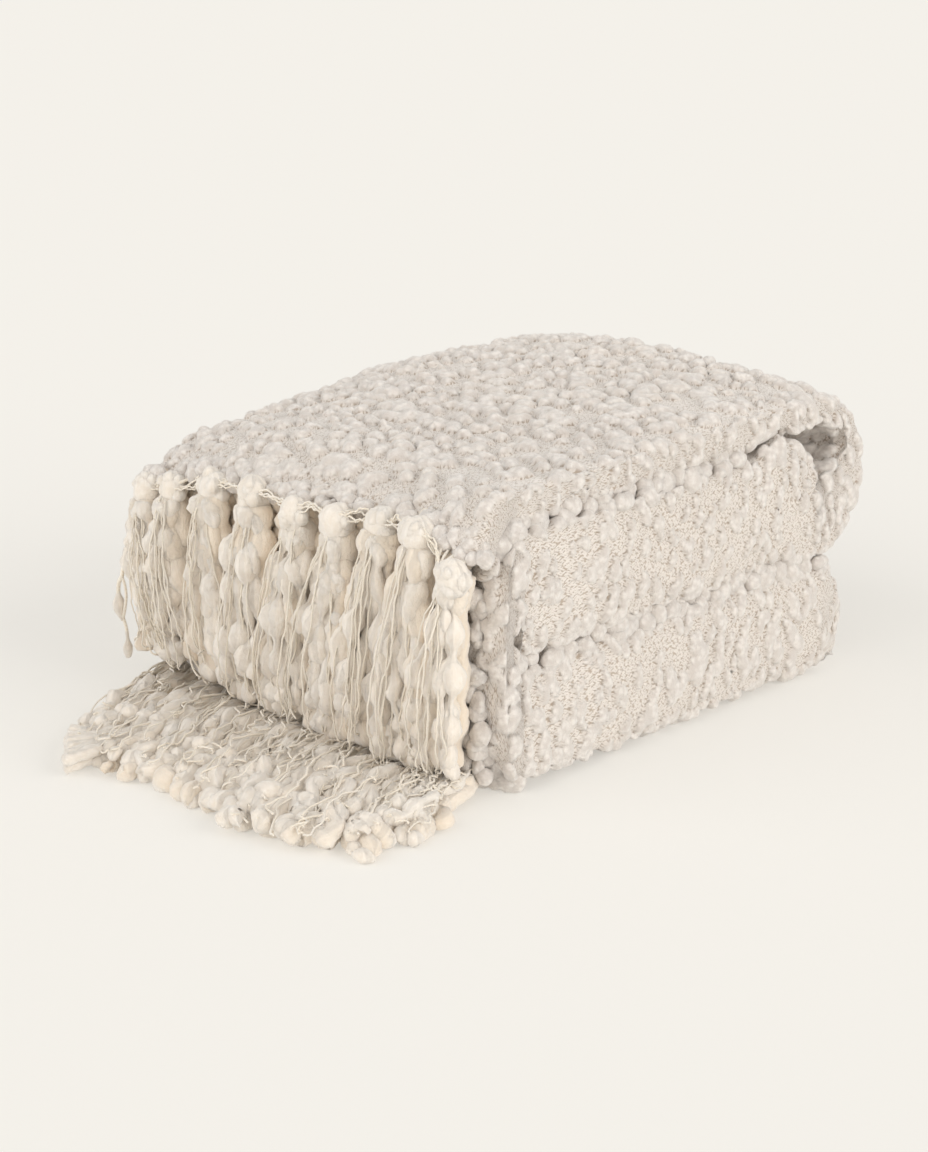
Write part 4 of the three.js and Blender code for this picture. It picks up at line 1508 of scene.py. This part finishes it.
STITCH = make_group(
    "stitch",
    [("Cloth", "Vector"), ("Width", "Float"), ("Long", "Float")],
    [("Height", "Float"), ("Gap", "Float")],
    build_chips,
)
FLUFF = make_group(
    "fluff",
    [("Place", "Vector"), ("Size", "Float")],
    [("Height", "Float"), ("Shade", "Float")],
    build_fluff,
)
PLY = make_group(
    "plied",
    [("Yarn", "Vector"), ("Plies", "Float"), ("Lay", "Float")],
    [("Height", "Float"), ("Groove", "Float")],
    build_ply,
)


def cotton_material(name, build, roughness=0.95, soft=0.2):
    """Matt cotton with a soft edge of fibre: build gives its colour and its normal."""
    material = bpy.data.materials.new(name)
    material.use_nodes = True
    shader = material.node_tree.nodes["Principled BSDF"]
    set_inputs(shader, Roughness=roughness, Specular_IOR_Level=0.2)
    set_inputs(shader, Sheen_Weight=0.9, Sheen_Roughness=0.6, Sheen_Tint=(1.0, 0.98, 0.95, 1))
    set_inputs(shader, Subsurface_Weight=soft, Subsurface_Scale=0.0025)
    set_inputs(shader, Subsurface_Radius=(1.0, 0.96, 0.91))
    g = Graph(material.node_tree)
    for socket, result in zip(("Base Color", "Normal"), build(g)):
        g.feed(shader.inputs[socket], result)
    return material


def boucle(g):
    """Ground of fine slanted stitches with painted shade in the gaps between them, under matt cotton
    puffs painted darker between their lumps.
    """
    metres = g.vector_math("MULTIPLY", g.cut(), CLOTH_METRES)
    place = g.place()
    stitch = g.group(STITCH, metres, STITCH_WIDE, STITCH_LONG)
    fluff = g.group(FLUFF, place, PUFF_FLUFF)
    is_puff = g.ramp(g.math("MULTIPLY_ADD", fluff["Shade"], 0.2, g.attribute("nap")), 0.16, 0.5)
    patch = g.ramp(g.noise(place, 22.0, 2.0), 0.35, 0.65)
    # painted shade in the gaps between the stitches
    ground = g.mix(stitch["Gap"], GROUND, GROUND_GAP_SHADE)
    # painted shade: the fleece is darker between the cotton's lumps
    fleece = g.mix(fluff["Shade"], FLEECE_SHADED, FLEECE_PALE)
    tinted = g.mix(g.math("MULTIPLY", patch, PATCH_SHARE), fleece, FLEECE_PATCH)
    height = g.math("MULTIPLY", g.math("SUBTRACT", 1.0, is_puff), stitch["Height"])
    rough = g.bump(height, 0.0006, 0.9)
    soft = g.math("MULTIPLY", fluff["Height"], is_puff)
    return g.mix(is_puff, ground, tinted), g.bump(soft, 0.0024, 0.85, rough)


def slub(g):
    """Loose cotton of the thick and thin strands, a little different from strand to strand; the tan
    is painted shade on the deeper and lower strands, and the lumps are painted darker between them.
    """
    tone = g.attribute("tone")
    fluff = g.group(FLUFF, g.place(), SLUB_FLUFF)
    turn, down, _ = g.split(g.cut())
    across, along_it = g.math("MULTIPLY", turn, 26.0), g.math("MULTIPLY", down, 60.0)
    strand = g.node("CombineXYZ", across, along_it, g.math("MULTIPLY", tone, 40.0)).outputs[0]
    streak = g.noise(strand, 1.0, 3.0, 0.65)
    # painted shade between the lumps, mixed with random fibre streaks
    shade = g.math("MULTIPLY_ADD", fluff["Shade"], 0.5, g.ramp(streak, 0.36, 0.64, 0.0, 0.5))
    # share of tan: painted shade on deep and low strands, a little random tan elsewhere
    deep = g.math("MULTIPLY", tone, 0.25, clamp=True)
    height = g.math("MULTIPLY_ADD", fluff["Height"], 0.7, g.math("MULTIPLY", streak, 0.45))
    return g.mix(deep, g.mix(shade, SLUB_SHADED, SLUB_PALE), SLUB_TAN_AND_SHADE), g.bump(height, 0.002, 0.8)


def yarn(g):
    """Fine twisted yarn with tan grooves between its plies: the tan is painted shade."""
    ply = g.group(PLY, g.cut(), PLIES, LAY)
    pale = g.mix(g.attribute("tone"), YARN_PALE, YARN_TONED)
    # painted shade in the grooves between the plies
    return g.mix(ply["Groove"], pale, YARN_GROOVE_SHADE), g.bump(ply["Height"], 0.0004, 0.6)


BOUCLE = cotton_material("boucle", boucle)
SLUB = cotton_material("fringe_slub", slub)
YARN = cotton_material("fringe_yarn", yarn, roughness=0.85, soft=0.1)


# ---- puffs that close the creases and edges ----------------------------------------------------

PUFF_LINES = (  # from, to, place round the outline, spacing
    (("run3", 0.33), ("roll", 0.7), 2.87, 13.0),
    (("run2", 0.0), ("run2", 0.7), 2.85, 15.0),
    (("run2", 0.0), ("run2", 1.0), 2.13, 14.0),
    (("run1", 0.0), ("run1", 1.0), 2.13, 15.0),
    (("turn1", 0.05), ("turn1", 0.95), 2.97, 17.0),
)
CREASE_ROLLS = (  # from, to, place round the outline, radius
    (("run2", 0.0), ("run2", 0.72), 2.93, 6.0),
    (("run1", 0.0), ("run1", 1.0), 2.05, 6.0),
)
LOW_PUFFS = 11  # along the lowest run's front edge, near its right-hand corner
LOOSE_BOXES = (  # how many, between which corners of a box, and their least and most half sizes
    (30, (143, -119, 12), (160, -113, 150), (4.4, 4.4, 5.0), (6.6, 6.0, 9.0)),  # the front corner
    (26, (-166, -121, 26), (-50, -113, 42), (6, 5, 6), (10, 7, 9)),  # low at the front, left
)


def strip_points(a, u):
    """Points of the strip's outline, and the ways out of it, at distances a and one u."""
    stations = Stations(a)
    x, share, _ = outline(stations, np.array([u - 0.02, u, u + 0.02]))
    base = stations.place(x, share)
    round_ = base[:, 2] - base[:, 0]
    way = unit(np.cross(np.gradient(base[:, 1], axis=0), round_))
    core = stations.place(x[:, 1:2] - 12, lerp(share[:, 1:2], 0.5, 0.3))[:, 0]
    way = way * np.sign(((base[:, 1] - core) * way).sum(-1, keepdims=True))
    return base[:, 1], way


def make_loose_puffs():
    """Puffs along the creases at the right, the cloth's ragged end, and the front's low edges.

    Some fill the front corner, beside the last tassel. Rolls of plain cloth lie behind those in
    the creases.
    """
    random = np.random.default_rng(5)
    centres, sizes = [], []
    for (first, low), (last, high), u, spacing in PUFF_LINES:
        a = np.arange(along(first, low), along(last, high), spacing)
        base, way = strip_points(a + random.normal(0, spacing / 5, a.size), u)
        centres.append(base + random.normal(0, 1.2, (a.size, 3)) + way * 0.6)
        sizes.append(random.uniform([5.0, 7.2, 5.6], [6.8, 10.6, 9.0], (a.size, 3)))
    x = np.arange(-168, 172, 8.6)
    rim = cloth_edge(x + random.normal(0, 2.4, x.size)) + random.normal(0, 1.6, (x.size, 3))
    centres.append(rim + [0, 3.0, 0.5])
    sizes.append(random.uniform(4.8, 8.4, (x.size, 3)))
    x = np.linspace(92, 168, LOW_PUFFS) + random.normal(0, 2.5, LOW_PUFFS)
    y = FRONT_END - 3 + random.normal(0, 2, LOW_PUFFS) + smooth(140, 165, x) * 6
    centres.append(stacked(x, y, random.uniform(5, 9, LOW_PUFFS)))
    sizes.append(random.uniform([7, 6, 5], [11, 9, 8], (LOW_PUFFS, 3)))
    for count, low, high, least, most in LOOSE_BOXES:
        centres.append(random.uniform(low, high, (count, 3)))
        sizes.append(random.uniform(least, most, (count, 3)))
    *balls, tones = ball_arrays(np.concatenate(centres), np.concatenate(sizes), 8, 12, 54)
    parts = [(*balls, np.ones(tones.size))]
    for (first, low), (last, high), u, radius in CREASE_ROLLS:
        base, way = strip_points(np.linspace(along(first, low), along(last, high), 90), u)
        size = radius * random.uniform(0.85, 1.1, (1, 90))
        *roll, uv, nap = tube_arrays(base[None] - way * 3, size, 12, 0.1, 3, np.zeros(1))
        parts.append((*roll, uv * [0.02, 1], nap))
    return make_joined("nap_loose", parts, "nap", FLOOR_CLEAR)


# ---- put together -----------------------------------------------------------------------------


def finish_piece(piece, material):
    """A piece with its material, on the throw's one body."""
    piece.data.materials.append(material)
    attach(piece, "root")


skins = make_skins()
cloth = make_sheet()
skins.append(make_loose_puffs())
for piece in [*skins, cloth]:
    finish_piece(piece, BOUCLE)
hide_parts("blanket")
fringe_pieces = []
for node, make in (("fringe_top", make_fringe_top), ("fringe_floor", make_fringe_floor)):
    slubs, yarns = make()
    finish_piece(slubs, SLUB)
    finish_piece(yarns, YARN)
    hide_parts(node)
    fringe_pieces += [slubs, yarns]
